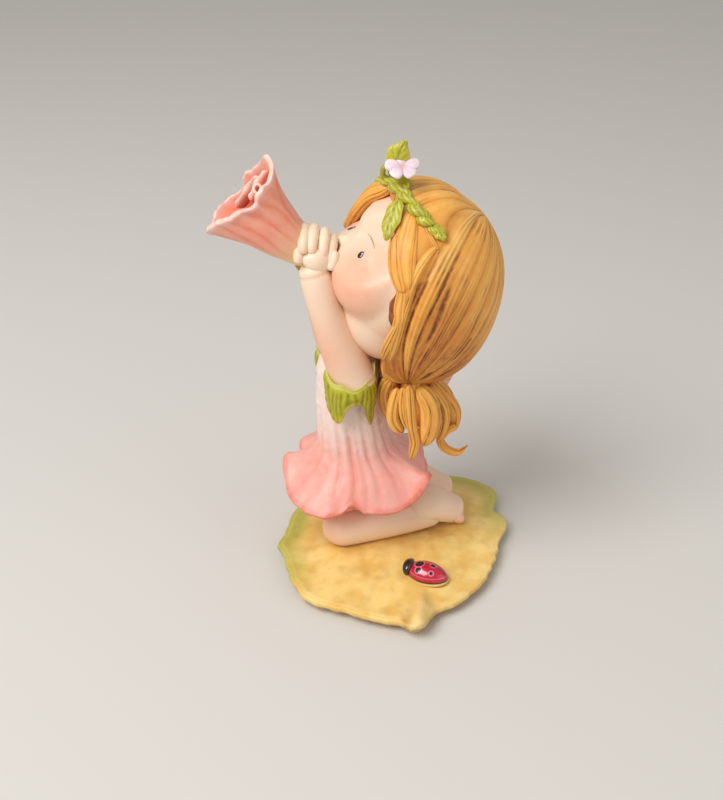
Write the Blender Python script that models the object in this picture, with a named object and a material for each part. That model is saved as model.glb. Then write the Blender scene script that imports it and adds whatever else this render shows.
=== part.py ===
"""A kneeling fairy who blows a flower trumpet, cast in one piece of resin on a leaf.

Metres, +Z up. The origin is on the leaf's flat underside, under the leaf's middle. The fairy
faces -X, her left side is -Y, and her middle plane is at MIDDLE_Y, behind the leaf's middle.
Every form below is closed by itself and reaches well into the forms that carry it, and one
Boolean union makes the casting of them all.
"""

import math
from collections.abc import Callable

import bmesh
import bpy
from mathutils import Matrix, Vector

MM = 0.001

# The leaf that she kneels on
LEAF_REACH = 26.0 * MM
LEAF_CROWN = 4.6 * MM
LEAF_RIM_HEIGHT = 3.4 * MM
LEAF_RIM_THICKNESS = 1.7 * MM
LEAF_FOOT_INSET = 5.0 * MM
LEAF_VEIN_DEPTH = 0.35 * MM
LEAF_VEIN_PITCH = 11.0 * MM
LEAF_SIDES = 46

# Her kneeling legs: shins flat on the leaf, soles up behind her
MIDDLE_Y = 8.5 * MM
KNEE_SPACING = 12.2 * MM
FOOT_SPACING = 8.2 * MM
SHIN_RADIUS = 4.5 * MM
SHIN_LENGTH = 19.0 * MM
KNEE_X = -12.4 * MM
LEG_TURN_DEG = 6.5
FOOT_LENGTH = 10.2 * MM
FOOT_RADIUS = 3.4 * MM
HEEL_RISE = 8.6 * MM
TOE_RADIUS = 0.95 * MM
TOES = 5

# Her dress: a flower turned over, with a flared and curled hem
HEM_RISE = 12.6 * MM
HEM_REACH = 15.6 * MM
HEM_THICKNESS = 1.5 * MM
HEM_TUCK = 2.6 * MM
DRESS_X = -7.6 * MM
DRESS_LENGTH = 35.6 * MM
DRESS_WAIST_RADIUS = 7.6 * MM
PLEAT_DEPTH = 0.38 * MM
PLEATS = 12
DRESS_SIDES = 48

# Arms that reach up to the trumpet, out of leaf collars
SHOULDER_SPACING = 11.4 * MM
SHOULDER_DROP = 5.0 * MM
ARM_RADIUS = 4.0 * MM
WRIST_RADIUS = 3.0 * MM
COLLAR_RADIUS = 5.4 * MM
COLLAR_HEIGHT = 5.0 * MM
COLLAR_SIDES = 14
COLLAR_LOBE_LENGTH = 8.0 * MM
HAND_RADIUS = 3.2 * MM
FINGER_RADIUS = 0.95 * MM
FINGER_PITCH = 1.75 * MM
FINGERS = 4

# Her head, tilted back
HEAD_RADIUS = 16.8 * MM
HEAD_BACK = 13.4 * MM
HEAD_RISE = 15.2 * MM
NECK_RADIUS = 4.6 * MM
MOUTH_TILT_DEG = 13.0
NOSE_TILT_DEG = 26.0
NOSE_RADIUS = 1.35 * MM
CHEEK_DEPTH = 2.4 * MM
EYE_DEPTH = 2.4 * MM
JAW_DEPTH = 3.2 * MM

# Her hair, combed from the crown to a tie at the nape
HAIR_THICKNESS = 1.1 * MM
HAIR_TOP_BULGE = 1.5 * MM
HAIR_TAIL_DROP = 6.0 * MM
HAIRLINE_BACK = 7.6 * MM
HAIRLINE_TILT_DEG = 5.0
HAIR_GROOVE_DEPTH = 0.8 * MM
HAIR_LOCKS = 26
HAIR_RINGS = 14
FRINGE_WIDTH = 5.0 * MM
CURL_RADIUS = 2.3 * MM
CURL_DROP = 16.0 * MM

# Leaves and a flower worn in the hair
VINE_RADIUS = 0.95 * MM
WREATH_LEAF_LENGTH = 9.2 * MM
WREATH_LEAF_WIDTH = 4.0 * MM
BLOSSOM_RADIUS = 2.5 * MM
BLOSSOM_PETALS = 5

# The flower that is her trumpet
TRUMPET_REACH = 18.2 * MM
TRUMPET_RISE = 13.4 * MM
TRUMPET_SWING_DEG = 2.0
TRUMPET_RIM_RADIUS = 9.4 * MM
TRUMPET_PIPE_RADIUS = 2.3 * MM
TRUMPET_WALL = 1.1 * MM
TRUMPET_RUFFLE = 1.4 * MM
TRUMPET_WAVES = 5
TRUMPET_HOLLOW = 0.5
TRUMPET_SIDES = 24

# Petal wings on her back
WING_LENGTH = 17.4 * MM
WING_WIDTH = 5.6 * MM
TUCKED_WING_SHARE = 0.62
BLADE_THICKNESS = 0.8 * MM

# The ladybird on the leaf
LADYBIRD_X = 5.2 * MM
LADYBIRD_Y = -11.8 * MM
LADYBIRD_LENGTH = 9.4 * MM
LADYBIRD_WIDTH = 6.2 * MM
LADYBIRD_HEIGHT = 3.2 * MM
LADYBIRD_HEADING_DEG = 150.0

# Paints, as linear colours
PAINTS = {
    "leaf_paint": (0.80, 0.55, 0.19),
    "skin_paint": (0.86, 0.60, 0.45),
    "dress_paint": (0.85, 0.42, 0.36),
    "green_paint": (0.42, 0.42, 0.03),
    "hair_paint": (0.66, 0.33, 0.07),
    "blossom_paint": (0.86, 0.74, 0.82),
    "ladybird_paint": (0.62, 0.01, 0.03),
}
PAINT_ROUGHNESS = 0.45

# Leaf outline: angle from +X in degrees, and reach as a share of LEAF_REACH
LEAF_OUTLINE = (
    (0, 0.93),
    (14, 1.09),
    (24, 1.08),
    (34, 1.28),
    (50, 1.26),
    (70, 1.17),
    (90, 1.14),
    (115, 1.06),
    (140, 1.06),
    (158, 1.00),
    (171, 1.02),
    (183, 0.97),
    (215, 0.99),
    (236, 0.91),
    (256, 0.93),
    (265, 0.94),
    (270, 1.07),
    (277, 0.99),
    (284, 0.87),
    (301, 0.86),
    (335, 0.86),
)

# Hem outline: angle, reach as a share of HEM_REACH, and rise above the hem's lowest edge in millimetres
HEM_OUTLINE = (
    (0, 1.00, 3.6),
    (29, 1.06, 4.6),
    (65, 0.92, 1.4),
    (101, 1.04, 3.4),
    (134, 1.08, 3.0),
    (152, 0.92, 2.6),
    (173, 1.07, 5.0),
    (194, 1.08, 1.0),
    (216, 1.12, 0.2),
    (236, 1.10, 0.0),
    (252, 0.95, 0.8),
    (260, 0.88, 1.9),
    (272, 0.94, 0.3),
    (293, 1.00, 0.0),
    (310, 1.06, 1.2),
    (323, 1.20, 6.0),
    (336, 1.04, 4.0),
)

# Dress from hem to shoulder: height share, forward shift in millimetres, radius share of the waist
DRESS_PROFILE = (
    (0.07, -0.2, 1.70),
    (0.14, -0.6, 1.46),
    (0.24, 0.0, 1.24),
    (0.38, 0.6, 1.11),
    (0.55, 1.4, 1.00),
    (0.72, 1.8, 0.96),
    (0.87, 1.8, 0.90),
    (1.00, 1.2, 0.58),
)

# Curls below the tie: knots of each lock in millimetres from the tie (forward, to her left, down), and size
CURLS = (
    (((2.0, 1.6, -1.5), (5.0, 3.6, 2.4), (5.4, 4.2, 7.5), (4.0, 3.4, 11.5)), 0.80),
    (((1.0, 2.8, -1.0), (2.6, 5.6, 3.5), (2.2, 6.0, 9.5), (0.2, 4.8, 13.5)), 0.92),
    (((-0.5, 1.6, -1.5), (-1.6, 5.0, 2.5), (-3.2, 5.4, 8.0), (-1.6, 4.2, 13.2)), 1.25),
    (((-1.0, 0.4, -1.0), (-5.0, 1.6, 1.0), (-8.4, 1.6, 5.5), (-8.0, 1.4, 12.0)), 1.30),
    (((-4.6, 1.6, 10.5), (-6.6, 2.2, 14.4), (-8.4, 1.6, 18.0), (-11.8, 0.6, 18.4)), 0.90),
    (((2.6, 3.4, 9.0), (2.4, 4.4, 13.0), (3.2, 4.2, 16.4)), 0.70),
    (((1.0, -1.0, -1.0), (2.4, -4.0, 3.0), (1.6, -4.6, 9.0), (0.0, -3.0, 13.0)), 1.10),
    (((-1.0, -1.4, -1.0), (-4.6, -4.0, 3.0), (-5.6, -4.0, 9.0), (-4.0, -2.6, 13.0)), 1.15),
    (((0.0, 0.0, -3.0), (-0.6, 0.6, 4.0), (-1.6, 0.8, 12.0)), 1.70),
)


def smooth_around(table: tuple, angle: float, column: int) -> float:
    """Reads a closed table of rows that start with an angle, with a smooth curve between them."""
    count = len(table)
    angle %= 360
    after = next((i for i, row in enumerate(table) if row[0] > angle), count)
    rows = [table[(after + k) % count] for k in (-2, -1, 0, 1)]
    before, start, end, beyond = (row[column] for row in rows)
    span = (rows[2][0] - rows[1][0]) % 360 or 360
    t = ((angle - rows[1][0]) % 360) / span
    a = 2 * start
    b = end - before
    c = 2 * before - 5 * start + 4 * end - beyond
    d = -before + 3 * start - 3 * end + beyond
    return 0.5 * (a + b * t + c * t**2 + d * t**3)


def smooth_path(points: list[Vector], steps: int) -> list[Vector]:
    """A curve through the points, with this many steps between each two."""
    ends = [2 * points[0] - points[1], *points, 2 * points[-1] - points[-2]]
    path = []
    for before, start, end, beyond in zip(ends, ends[1:], ends[2:], ends[3:]):
        for step in range(steps):
            t = step / steps
            a = 2 * start
            b = end - before
            c = 2 * before - 5 * start + 4 * end - beyond
            d = -before + 3 * start - 3 * end + beyond
            path.append(0.5 * (a + b * t + c * t**2 + d * t**3))
    return [*path, points[-1].copy()]


def smooth_step(low: float, high: float, value: float) -> float:
    """0 below low, 1 above high, and an even S between them."""
    t = min(1.0, max(0.0, (value - low) / (high - low)))
    return t * t * (3 - 2 * t)


def tilt(angle_deg: float) -> Vector:
    """The unit vector in her middle plane that points forward and this far above level."""
    angle = math.radians(angle_deg)
    return Vector((-math.cos(angle), 0.0, math.sin(angle)))


def paint(name: str) -> bpy.types.Material:
    """The satin resin paint of this name."""
    found = bpy.data.materials.get(name)
    if found:
        return found
    made = bpy.data.materials.new(name)
    made.use_nodes = True
    shader = made.node_tree.nodes["Principled BSDF"]
    shader.inputs["Base Color"].default_value = (*PAINTS[name], 1.0)
    shader.inputs["Roughness"].default_value = PAINT_ROUGHNESS
    shader.inputs["Metallic"].default_value = 0.0
    made.diffuse_color = (*PAINTS[name], 1.0)
    return made


def form(name: str, bm: bmesh.types.BMesh, paint_name: str) -> bpy.types.Object:
    """Makes an object of one closed form, in the collection that the union reads."""
    bmesh.ops.recalc_face_normals(bm, faces=bm.faces)
    mesh = bpy.data.meshes.new(name)
    bm.to_mesh(mesh)
    bm.free()
    mesh.materials.append(paint(paint_name))
    mesh.polygons.foreach_set("use_smooth", [True] * len(mesh.polygons))
    made = bpy.data.objects.new(name, mesh)
    made.hide_render = True
    made.display_type = "WIRE"
    bpy.data.collections["forms"].objects.link(made)
    return made


def skin(rings: list[list[Vector]]) -> bmesh.types.BMesh:
    """One loop of edges on the first ring, extruded on to each ring in turn and closed at both ends."""
    bm = bmesh.new()
    loop = bmesh.ops.create_circle(bm, segments=len(rings[0]))["verts"]
    edges = list(bm.edges)
    ends = [loop]
    for number, ring in enumerate(rings):
        if number:
            made = set(bmesh.ops.extrude_edge_only(bm, edges=edges)["geom"])
            loop = [next(e.other_vert(v) for e in v.link_edges if e.other_vert(v) in made) for v in loop]
            edges = [e for e in made if isinstance(e, bmesh.types.BMEdge) and set(e.verts) <= set(loop)]
        for vert, place in zip(loop, ring):
            vert.co = place
    ends.append(loop)
    caps = [bm.faces.new(end) for end in ends]
    bmesh.ops.poke(bm, faces=caps)
    return bm


def ball(
    centre: Vector, radius: float, sides: int, rings: int, shape: Matrix | None = None
) -> bmesh.types.BMesh:
    """A sphere, stretched or turned by a matrix about its own centre."""
    bm = bmesh.new()
    matrix = Matrix.Translation(centre) @ (shape or Matrix.Identity(4))
    bmesh.ops.create_uvsphere(bm, u_segments=sides, v_segments=rings, radius=radius, matrix=matrix)
    return bm


def tube(
    path: list[Vector], radii: list[float], sides: int, facing: Vector | None = None, thickness: float = 0.0
) -> bmesh.types.BMesh:
    """A round limb along a path, or a flat blade that faces one way where a thickness is given."""
    rings = []
    last = len(path) - 1
    normal = (facing or Vector((0.31, 0.17, 0.94))).normalized()
    for number, (centre, radius) in enumerate(zip(path, radii)):
        along = (path[min(number + 1, last)] - path[max(number - 1, 0)]).normalized()
        normal = (normal - normal.dot(along) * along).normalized()
        side = along.cross(normal)
        depth = min(radius, thickness / 2) if thickness else radius
        turns = (2 * math.pi * i / sides for i in range(sides))
        rings.append([centre + side * radius * math.cos(a) + normal * depth * math.sin(a) for a in turns])
        if facing:
            normal = facing.normalized()
    return skin(rings)


def shares(count: int, curve: Callable[[float], float]) -> list[float]:
    """The curve's value at this many even shares from 0 to 1."""
    return [curve(i / (count - 1)) for i in range(count)]


# Places that the forms share, from the ground up

KNEE_Z = LEAF_CROWN + SHIN_RADIUS * 0.85
HEM_Z = LEAF_CROWN + HEM_RISE
SHOULDER_Z = HEM_Z + DRESS_LENGTH
TORSO_TOP = Vector((DRESS_X - 1.2 * MM, MIDDLE_Y, SHOULDER_Z))
HEAD = TORSO_TOP + Vector((HEAD_BACK, 0.0, HEAD_RISE))
TO_TIE = Vector((0.02, -0.22, -0.975)).normalized()
TO_CROWN = Vector((0.60, 0.0, 0.80))
TIE = HEAD + TO_TIE * (HEAD_RADIUS + HAIR_TAIL_DROP * 0.95)
TRUMPET_LINE = ((0.0, 0.0), (0.27, 0.12), (0.50, 0.38), (0.74, 0.70), (1.0, 1.0))


def face_reach(out: Vector) -> float:
    """How far her skin lies from the head's middle: round cheeks, sunk eyes and a full jaw."""
    reach = HEAD_RADIUS
    for side in (-1, 1):
        cheek = (tilt(14) + Vector((0.0, side * 0.60, 0.0))).normalized()
        eye = (tilt(42) + Vector((0.0, side * 0.45, 0.0))).normalized()
        reach += CHEEK_DEPTH * smooth_step(0.84, 1.0, out.dot(cheek))
        reach -= EYE_DEPTH * smooth_step(0.88, 1.0, out.dot(eye))
    return reach + JAW_DEPTH * smooth_step(0.70, 1.0, out.dot(tilt(-52)))


MOUTH = HEAD + tilt(MOUTH_TILT_DEG) * face_reach(tilt(MOUTH_TILT_DEG))


def trumpet_path(steps: int) -> list[Vector]:
    """The trumpet's middle line, from her lips out to the rim."""
    swing = Matrix.Rotation(math.radians(-TRUMPET_SWING_DEG), 3, "Z")
    points = [MOUTH + swing @ Vector((-x * TRUMPET_REACH, 0.0, z * TRUMPET_RISE)) for x, z in TRUMPET_LINE]
    return smooth_path(points, steps)


def grip() -> Vector:
    """Where her hands close round the trumpet's pipe."""
    return trumpet_path(1)[1] + Vector((0.8 * MM, -0.6 * MM, 1.1 * MM))


def make_leaf() -> None:
    """The leaf: a flat foot inside, an undercut rim and a veined top."""
    underside = LEAF_RIM_HEIGHT - LEAF_RIM_THICKNESS
    levels = (
        (-LEAF_FOOT_INSET - 5 * MM, 0.0, 0.0),
        (-LEAF_FOOT_INSET, 0.0, 0.0),
        (-1.2 * MM, underside * 0.7, 0.0),
        (0.0, underside, 0.3),
        (0.1 * MM, LEAF_RIM_HEIGHT - LEAF_RIM_THICKNESS * 0.3, 0.7),
        (-1.3 * MM, LEAF_RIM_HEIGHT, 1.0),
        (-5 * MM, 0.7 * LEAF_RIM_HEIGHT + 0.3 * LEAF_CROWN, 1.0),
        (-10 * MM, 0.3 * LEAF_RIM_HEIGHT + 0.7 * LEAF_CROWN, 0.9),
        (-15 * MM, LEAF_CROWN, 0.5),
    )
    rings = []
    for inset, height, veined in levels:
        ring = []
        for i in range(LEAF_SIDES):
            angle = 360 * i / LEAF_SIDES
            reach = LEAF_REACH * smooth_around(LEAF_OUTLINE, angle, 1) + inset
            at = Matrix.Rotation(math.radians(angle), 3, "Z") @ Vector((reach, 0.0, 0.0))
            vein = math.cos(2 * math.pi * (at.y - 0.8 * abs(at.x)) / LEAF_VEIN_PITCH)
            ring.append(at + Vector((0.0, 0.0, height + LEAF_VEIN_DEPTH * veined * vein)))
        rings.append(ring)
    form("leaf", skin(rings), "leaf_paint")
    share = LEAF_REACH / (26 * MM)
    knots = ((3.6, -14.0, -1.8), (2.4, -20.0, -1.3), (1.0, -25.2, -1.5), (0.2, -28.4, -2.7))
    points = [Vector((x * MM * share, y * MM * share, LEAF_CROWN + z * MM)) for x, y, z in knots]
    path = smooth_path(points, 3)
    radii = shares(len(path), lambda t: (1.0 + 1.7 * math.sin(math.pi * (0.05 + 0.95 * t))) * MM)
    form("leaf_stem", tube(path, radii, 8), "leaf_paint")


def make_leg(side: int) -> None:
    """A shin and a foot with its sole up: -1 is her left leg and 1 is her right."""
    knee = Vector((KNEE_X, MIDDLE_Y, 0.0))
    turn = Matrix.Translation(knee) @ Matrix.Rotation(math.radians(LEG_TURN_DEG), 4, "Z")
    total = SHIN_LENGTH + FOOT_LENGTH

    def place(ahead: float, above: float, aside: float = 0.0) -> Vector:
        across = side / 2 * (KNEE_SPACING + (FOOT_SPACING - KNEE_SPACING) * ahead / total)
        return turn @ Vector((ahead, across + aside, KNEE_Z + above))

    shin = ((-3.4, 0.55), (-1.6, 0.9), (2.0, 1.0), (8.0, 1.0), (14.0, 0.94), (19.0, 0.86), (22.0, 0.5))
    path = [place(x * SHIN_LENGTH / 19.0, 0.0) for x, _ in shin]
    form(f"shin_{side}", tube(path, [SHIN_RADIUS * share for _, share in shin], 12), "skin_paint")
    thigh = [place(2 * MM, 0.0), Vector((DRESS_X, MIDDLE_Y + side * KNEE_SPACING * 0.3, HEM_Z + 5 * MM))]
    form(f"thigh_{side}", tube(thigh, [SHIN_RADIUS * 0.5, SHIN_RADIUS * 0.8], 8), "skin_paint")
    foot = (
        (SHIN_LENGTH - 3.0 * MM, HEEL_RISE * 0.36),
        (SHIN_LENGTH + 0.6 * MM, HEEL_RISE * 0.60),
        (SHIN_LENGTH + FOOT_LENGTH * 0.60, HEEL_RISE * 0.16),
        (SHIN_LENGTH + FOOT_LENGTH, -HEEL_RISE * 0.09),
    )
    path = smooth_path([place(x, z) for x, z in foot], 2)
    shape = (0.75, 1.12, 1.2, 1.12, 1.02, 0.92, 0.72)
    form(f"foot_{side}", tube(path, [FOOT_RADIUS * share for share in shape], 10), "skin_paint")
    steps = 2 * TOES + 1
    row = [(2 * i / (steps - 1) - 1, i % 2) for i in range(steps)]
    half = FOOT_RADIUS - TOE_RADIUS * 0.5
    path = [place(total + (0.8 - abs(aside)) * MM, -HEEL_RISE * 0.11, aside * half) for aside, _ in row]
    radii = [TOE_RADIUS * (0.75 + 0.45 * bulge) for _, bulge in row]
    form(f"toes_{side}", tube(path, radii, 6), "skin_paint")


def make_dress() -> None:
    """The dress: one skin from under the hem, round its curled edge and up the pleats to the neck."""
    rings = [[], [], [], []]
    for i in range(DRESS_SIDES):
        angle = 360 * i / DRESS_SIDES
        out = Matrix.Rotation(math.radians(angle), 3, "Z") @ Vector((1.0, 0.0, 0.0))
        reach = HEM_REACH * smooth_around(HEM_OUTLINE, angle, 1)
        rise = smooth_around(HEM_OUTLINE, angle, 2) * MM
        middle = Vector((DRESS_X, MIDDLE_Y, HEM_Z))
        rings[0].append(middle + out * reach * 0.62 - Vector((0, 0, HEM_TUCK)))
        rings[1].append(middle + out * (reach - 2.4 * MM) + Vector((0, 0, rise * 0.7)))
        rings[2].append(middle + out * reach + Vector((0, 0, rise + HEM_THICKNESS * 0.1)))
        rings[3].append(middle + out * (reach - 0.5 * MM) + Vector((0, 0, rise + HEM_THICKNESS)))
    for height, forward, share in DRESS_PROFILE:
        ring = []
        for i in range(DRESS_SIDES):
            angle = math.radians(360 * i / DRESS_SIDES)
            radius = DRESS_WAIST_RADIUS * share + PLEAT_DEPTH * (1 - height) ** 0.7 * math.cos(PLEATS * angle)
            flare = 0.42 * smooth_step(0.26, 0.0, height)
            radius += flare * (HEM_REACH * smooth_around(HEM_OUTLINE, math.degrees(angle), 1) - radius)
            lift = HEM_Z + DRESS_LENGTH * height
            lift += flare * smooth_around(HEM_OUTLINE, math.degrees(angle), 2) * MM
            x = DRESS_X - forward * MM + radius * math.cos(angle)
            ring.append(Vector((x, MIDDLE_Y + radius * math.sin(angle), lift)))
        rings.append(ring)
    form("dress", skin(rings), "dress_paint")


def shoulder(side: int) -> Vector:
    """The middle of one shoulder. Her right one hangs a little lower and further forward."""
    lean = Vector((-1.0 * MM, 0.0, -1.2 * MM)) if side > 0 else Vector()
    return TORSO_TOP + Vector((-0.4 * MM, side * SHOULDER_SPACING / 2, -SHOULDER_DROP)) + lean


def make_arm(side: int) -> None:
    """An arm from the shoulder over the elbow to the wrist, with its leaf collar."""
    start = shoulder(side)
    hand = grip() + Vector((-1.2 * MM, side * HAND_RADIUS * 0.95, -1.2 * MM))
    elbow = start.lerp(hand, 0.48) + Vector((-0.6 * MM, side * 0.9 * MM, 0.0))
    path = smooth_path([start, elbow, hand], 3)
    radii = shares(len(path), lambda t: ARM_RADIUS + (WRIST_RADIUS - ARM_RADIUS) * t)
    form(f"arm_{side}", tube(path, radii, 12), "skin_paint")
    up = (elbow - start).normalized()
    rim = start + up * 1.6 * MM
    levels = ((-1.35, 0.62), (-0.8, 0.96), (-0.35, 1.02), (0.1, 1.04), (0.12, 0.88), (-0.3, 0.72))
    across = up.cross(Vector((1.0, 0.0, 0.0))).normalized()
    ahead = across.cross(up)
    rings = []
    for height, share in levels:
        ring = []
        for i in range(COLLAR_SIDES):
            a = 2 * math.pi * i / COLLAR_SIDES
            dip = COLLAR_HEIGHT * (height + 0.16 * math.cos(2 * a))
            out = ahead * math.cos(a) + across * math.sin(a)
            ring.append(rim + up * dip + out * COLLAR_RADIUS * share)
        rings.append(ring)
    form(f"collar_{side}", skin(rings), "green_paint")
    for number, turn in enumerate((-40.0, 62.0)):
        out = Vector((math.sin(math.radians(turn)), side * math.cos(math.radians(turn)), 0.0))
        root = rim - up * COLLAR_HEIGHT * 0.2 + out * COLLAR_RADIUS * 0.86
        tip = root + Vector((0, 0, -COLLAR_LOBE_LENGTH)) + out * 0.3 * MM
        middle = root.lerp(tip, 0.5) + out * 0.9 * MM
        path = smooth_path([root, middle, tip], 2)
        radii = shares(len(path), lambda t: COLLAR_LOBE_LENGTH * (0.50 * math.cos(1.45 * t) ** 0.8 + 0.03))
        lobe = tube(path, radii, 8, out, BLADE_THICKNESS * 2.6)
        form(f"collar_leaf_{side}_{number}", lobe, "green_paint")


def make_hands() -> None:
    """Two palms round the pipe, with her right hand's fingers laid over the top."""
    centre = grip()
    for side in (-1, 1):
        palm = centre + Vector((-0.2 * MM, side * HAND_RADIUS, -0.6 * MM))
        shape = Matrix.Diagonal((1.12, 0.82, 1.1, 1.0))
        form(f"palm_{side}", ball(palm, HAND_RADIUS, 10, 7, shape), "skin_paint")
    over = TRUMPET_PIPE_RADIUS + FINGER_RADIUS * 1.8
    for finger in range(FINGERS):
        x = centre.x + ((FINGERS - 1) / 2 - finger) * FINGER_PITCH
        top = centre.z + over * (1.05 - 0.06 * abs(finger - 1.2)) - (x - centre.x) * 0.42
        knots = ((3.4, -2.2), (2.2, -0.2), (-0.4, 0.35), (-2.8, -0.9), (-3.9, -2.9))
        path = [Vector((x, MIDDLE_Y + y * MM, top + z * MM)) for y, z in knots]
        radii = [FINGER_RADIUS * share for share in (1.0, 1.05, 1.1, 1.05, 0.8)]
        form(f"finger_{finger}", tube(path, radii, 6), "skin_paint")
    knots = ((2.6, 4.2, -1.2), (0.4, 5.2, 0.2), (-2.4, 4.8, 0.6))
    path = smooth_path([centre + Vector((x, -y, z)) * MM for x, y, z in knots], 2)
    radii = [FINGER_RADIUS * share for share in (0.8, 1.1, 1.15, 1.1, 0.8)]
    form("thumb", tube(path, radii, 6), "skin_paint")


def make_trumpet() -> None:
    """The flower: a slim pipe at her lips that opens into a bell with a ruffled, hollow rim."""
    path = trumpet_path(2)
    total = len(path) - 1
    depth = round(total * TRUMPET_HOLLOW)
    rows = [(i, 0.0) for i in range(total + 1)] + [(total - i, TRUMPET_WALL) for i in range(depth + 1)]
    rings = []
    for number, wall in rows:
        t = number / total
        here = path[number]
        ahead = (path[min(number + 1, total)] - path[max(number - 1, 0)]).normalized()
        across = ahead.cross(Vector((0.0, 0.0, 1.0))).normalized()
        over = across.cross(ahead)
        radius = TRUMPET_PIPE_RADIUS + (TRUMPET_RIM_RADIUS - TRUMPET_PIPE_RADIUS) * (0.25 * t + 0.75 * t**1.4)
        wave = TRUMPET_RUFFLE * smooth_step(0.62, 1.0, t)
        ring = []
        for i in range(TRUMPET_SIDES):
            a = 2 * math.pi * i / TRUMPET_SIDES
            reach = radius - wall + wave * 0.45 * math.cos(TRUMPET_WAVES * a + 0.6)
            lift = wave * (0.45 * math.sin(TRUMPET_WAVES * a) + 0.35 * math.sin(2 * a + 1.0))
            out = over * math.cos(a) + across * math.sin(a)
            ring.append(here + out * reach + ahead * (lift - wall * 0.2))
        rings.append(ring)
    form("trumpet", skin(rings), "dress_paint")
    calyx = trumpet_path(1)[1] + Vector((-1.4, 0.0, -2.6)) * MM
    shape = Matrix.Diagonal((1.2, 1.0, 0.8, 1.0))
    form("calyx", ball(calyx, TRUMPET_PIPE_RADIUS * 0.8, 8, 6, shape), "green_paint")


def make_head() -> None:
    """The head's ball with its face, a button nose, and a neck."""
    bm = ball(HEAD, HEAD_RADIUS, 26, 14)
    for vert in bm.verts:
        out = (vert.co - HEAD).normalized()
        vert.co = HEAD + out * face_reach(out)
    form("head", bm, "skin_paint")
    nose = HEAD + tilt(NOSE_TILT_DEG) * (face_reach(tilt(NOSE_TILT_DEG)) + NOSE_RADIUS * 0.1)
    form("nose", ball(nose, NOSE_RADIUS, 8, 6), "skin_paint")
    neck = [TORSO_TOP - Vector((0, 0, 3 * MM)), TORSO_TOP.lerp(HEAD, 0.5)]
    form("neck", tube(neck, [NECK_RADIUS, NECK_RADIUS], 12), "skin_paint")


def hair_reach(out: Vector) -> float:
    """How far the hair's surface lies from the head's middle, along a direction."""
    reach = HEAD_RADIUS + HAIR_THICKNESS
    reach += HAIR_TAIL_DROP * ((1 + out.dot(TO_TIE)) / 2) ** 6
    return reach + HAIR_TOP_BULGE * smooth_step(0.75, 1.0, out.dot(Vector((-0.08, 0.0, 1.0)).normalized()))


def make_hair() -> None:
    """The combed mass: a sphere with poles at the crown and the tie, grooved, and cut at the hairline."""
    turn = Vector((0.0, 0.0, 1.0)).rotation_difference(TO_CROWN - TO_TIE).to_matrix().to_4x4()
    bm = ball(HEAD, HEAD_RADIUS, HAIR_LOCKS * 2, HAIR_RINGS, turn)
    for vert in bm.verts:
        out = (vert.co - HEAD).normalized()
        local = turn.inverted() @ out
        lock = HAIR_LOCKS * math.atan2(local.y, local.x)
        groove = (0.5 - 0.5 * math.cos(lock)) * (0.7 + 0.3 * math.sin(lock * 0.4)) * (1 - local.z**6)
        vert.co = HEAD + out * (hair_reach(out) - HAIR_GROOVE_DEPTH * groove)
    cut = {"plane_co": HEAD - Vector((HAIRLINE_BACK, 0.0, 0.0)), "plane_no": tilt(HAIRLINE_TILT_DEG)}
    bmesh.ops.bisect_plane(bm, geom=[*bm.verts, *bm.edges, *bm.faces], clear_outer=True, **cut)
    bmesh.ops.holes_fill(bm, edges=[e for e in bm.edges if e.is_boundary])
    form("hair", bm, "hair_paint")
    fringe = (
        ((78, -0.36), (64, -0.66), (46, -0.86), (24, -0.965), (9, -0.97)),
        ((72, 0.14), (54, 0.38), (36, 0.55), (23, 0.62)),
    )
    for number, arc in enumerate(fringe):
        path = smooth_path([on_hair(rise, across, -0.9 * MM) for rise, across in arc], 2)
        taper = shares(len(path), lambda t: 0.30 + 0.72 * math.sin(math.pi * min(1.0, t * 0.92 + 0.08)))
        radii = [FRINGE_WIDTH / 2 * share for share in taper]
        form(f"fringe_{number}", tube(path, radii, 6, path[len(path) // 2] - HEAD, 3.0 * MM), "hair_paint")


def make_curls() -> None:
    """Locks that hang from the tie on to her back, and curl at their ends."""
    scale = CURL_DROP / 16.0
    for number, (knots, size) in enumerate(CURLS):
        points = [TIE + Vector((-x, -y, -z)) * scale for x, y, z in knots]
        path = smooth_path(points, 2)
        taper = shares(len(path), lambda t: 0.42 + 0.62 * math.sin(math.pi * (0.12 + 0.80 * t)))
        form(f"curl_{number}", tube(path, [CURL_RADIUS * size * share for share in taper], 7), "hair_paint")


def on_hair(rise_deg: float, across: float, lift: float = 0.0) -> Vector:
    """A point on the hair: an angle above level, seen from her left, and a share to her right."""
    a = math.radians(rise_deg)
    flat = math.sqrt(1 - across**2)
    out = Vector((-flat * math.cos(a), across, flat * math.sin(a)))
    return HEAD + out * (hair_reach(out) + lift)


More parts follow.
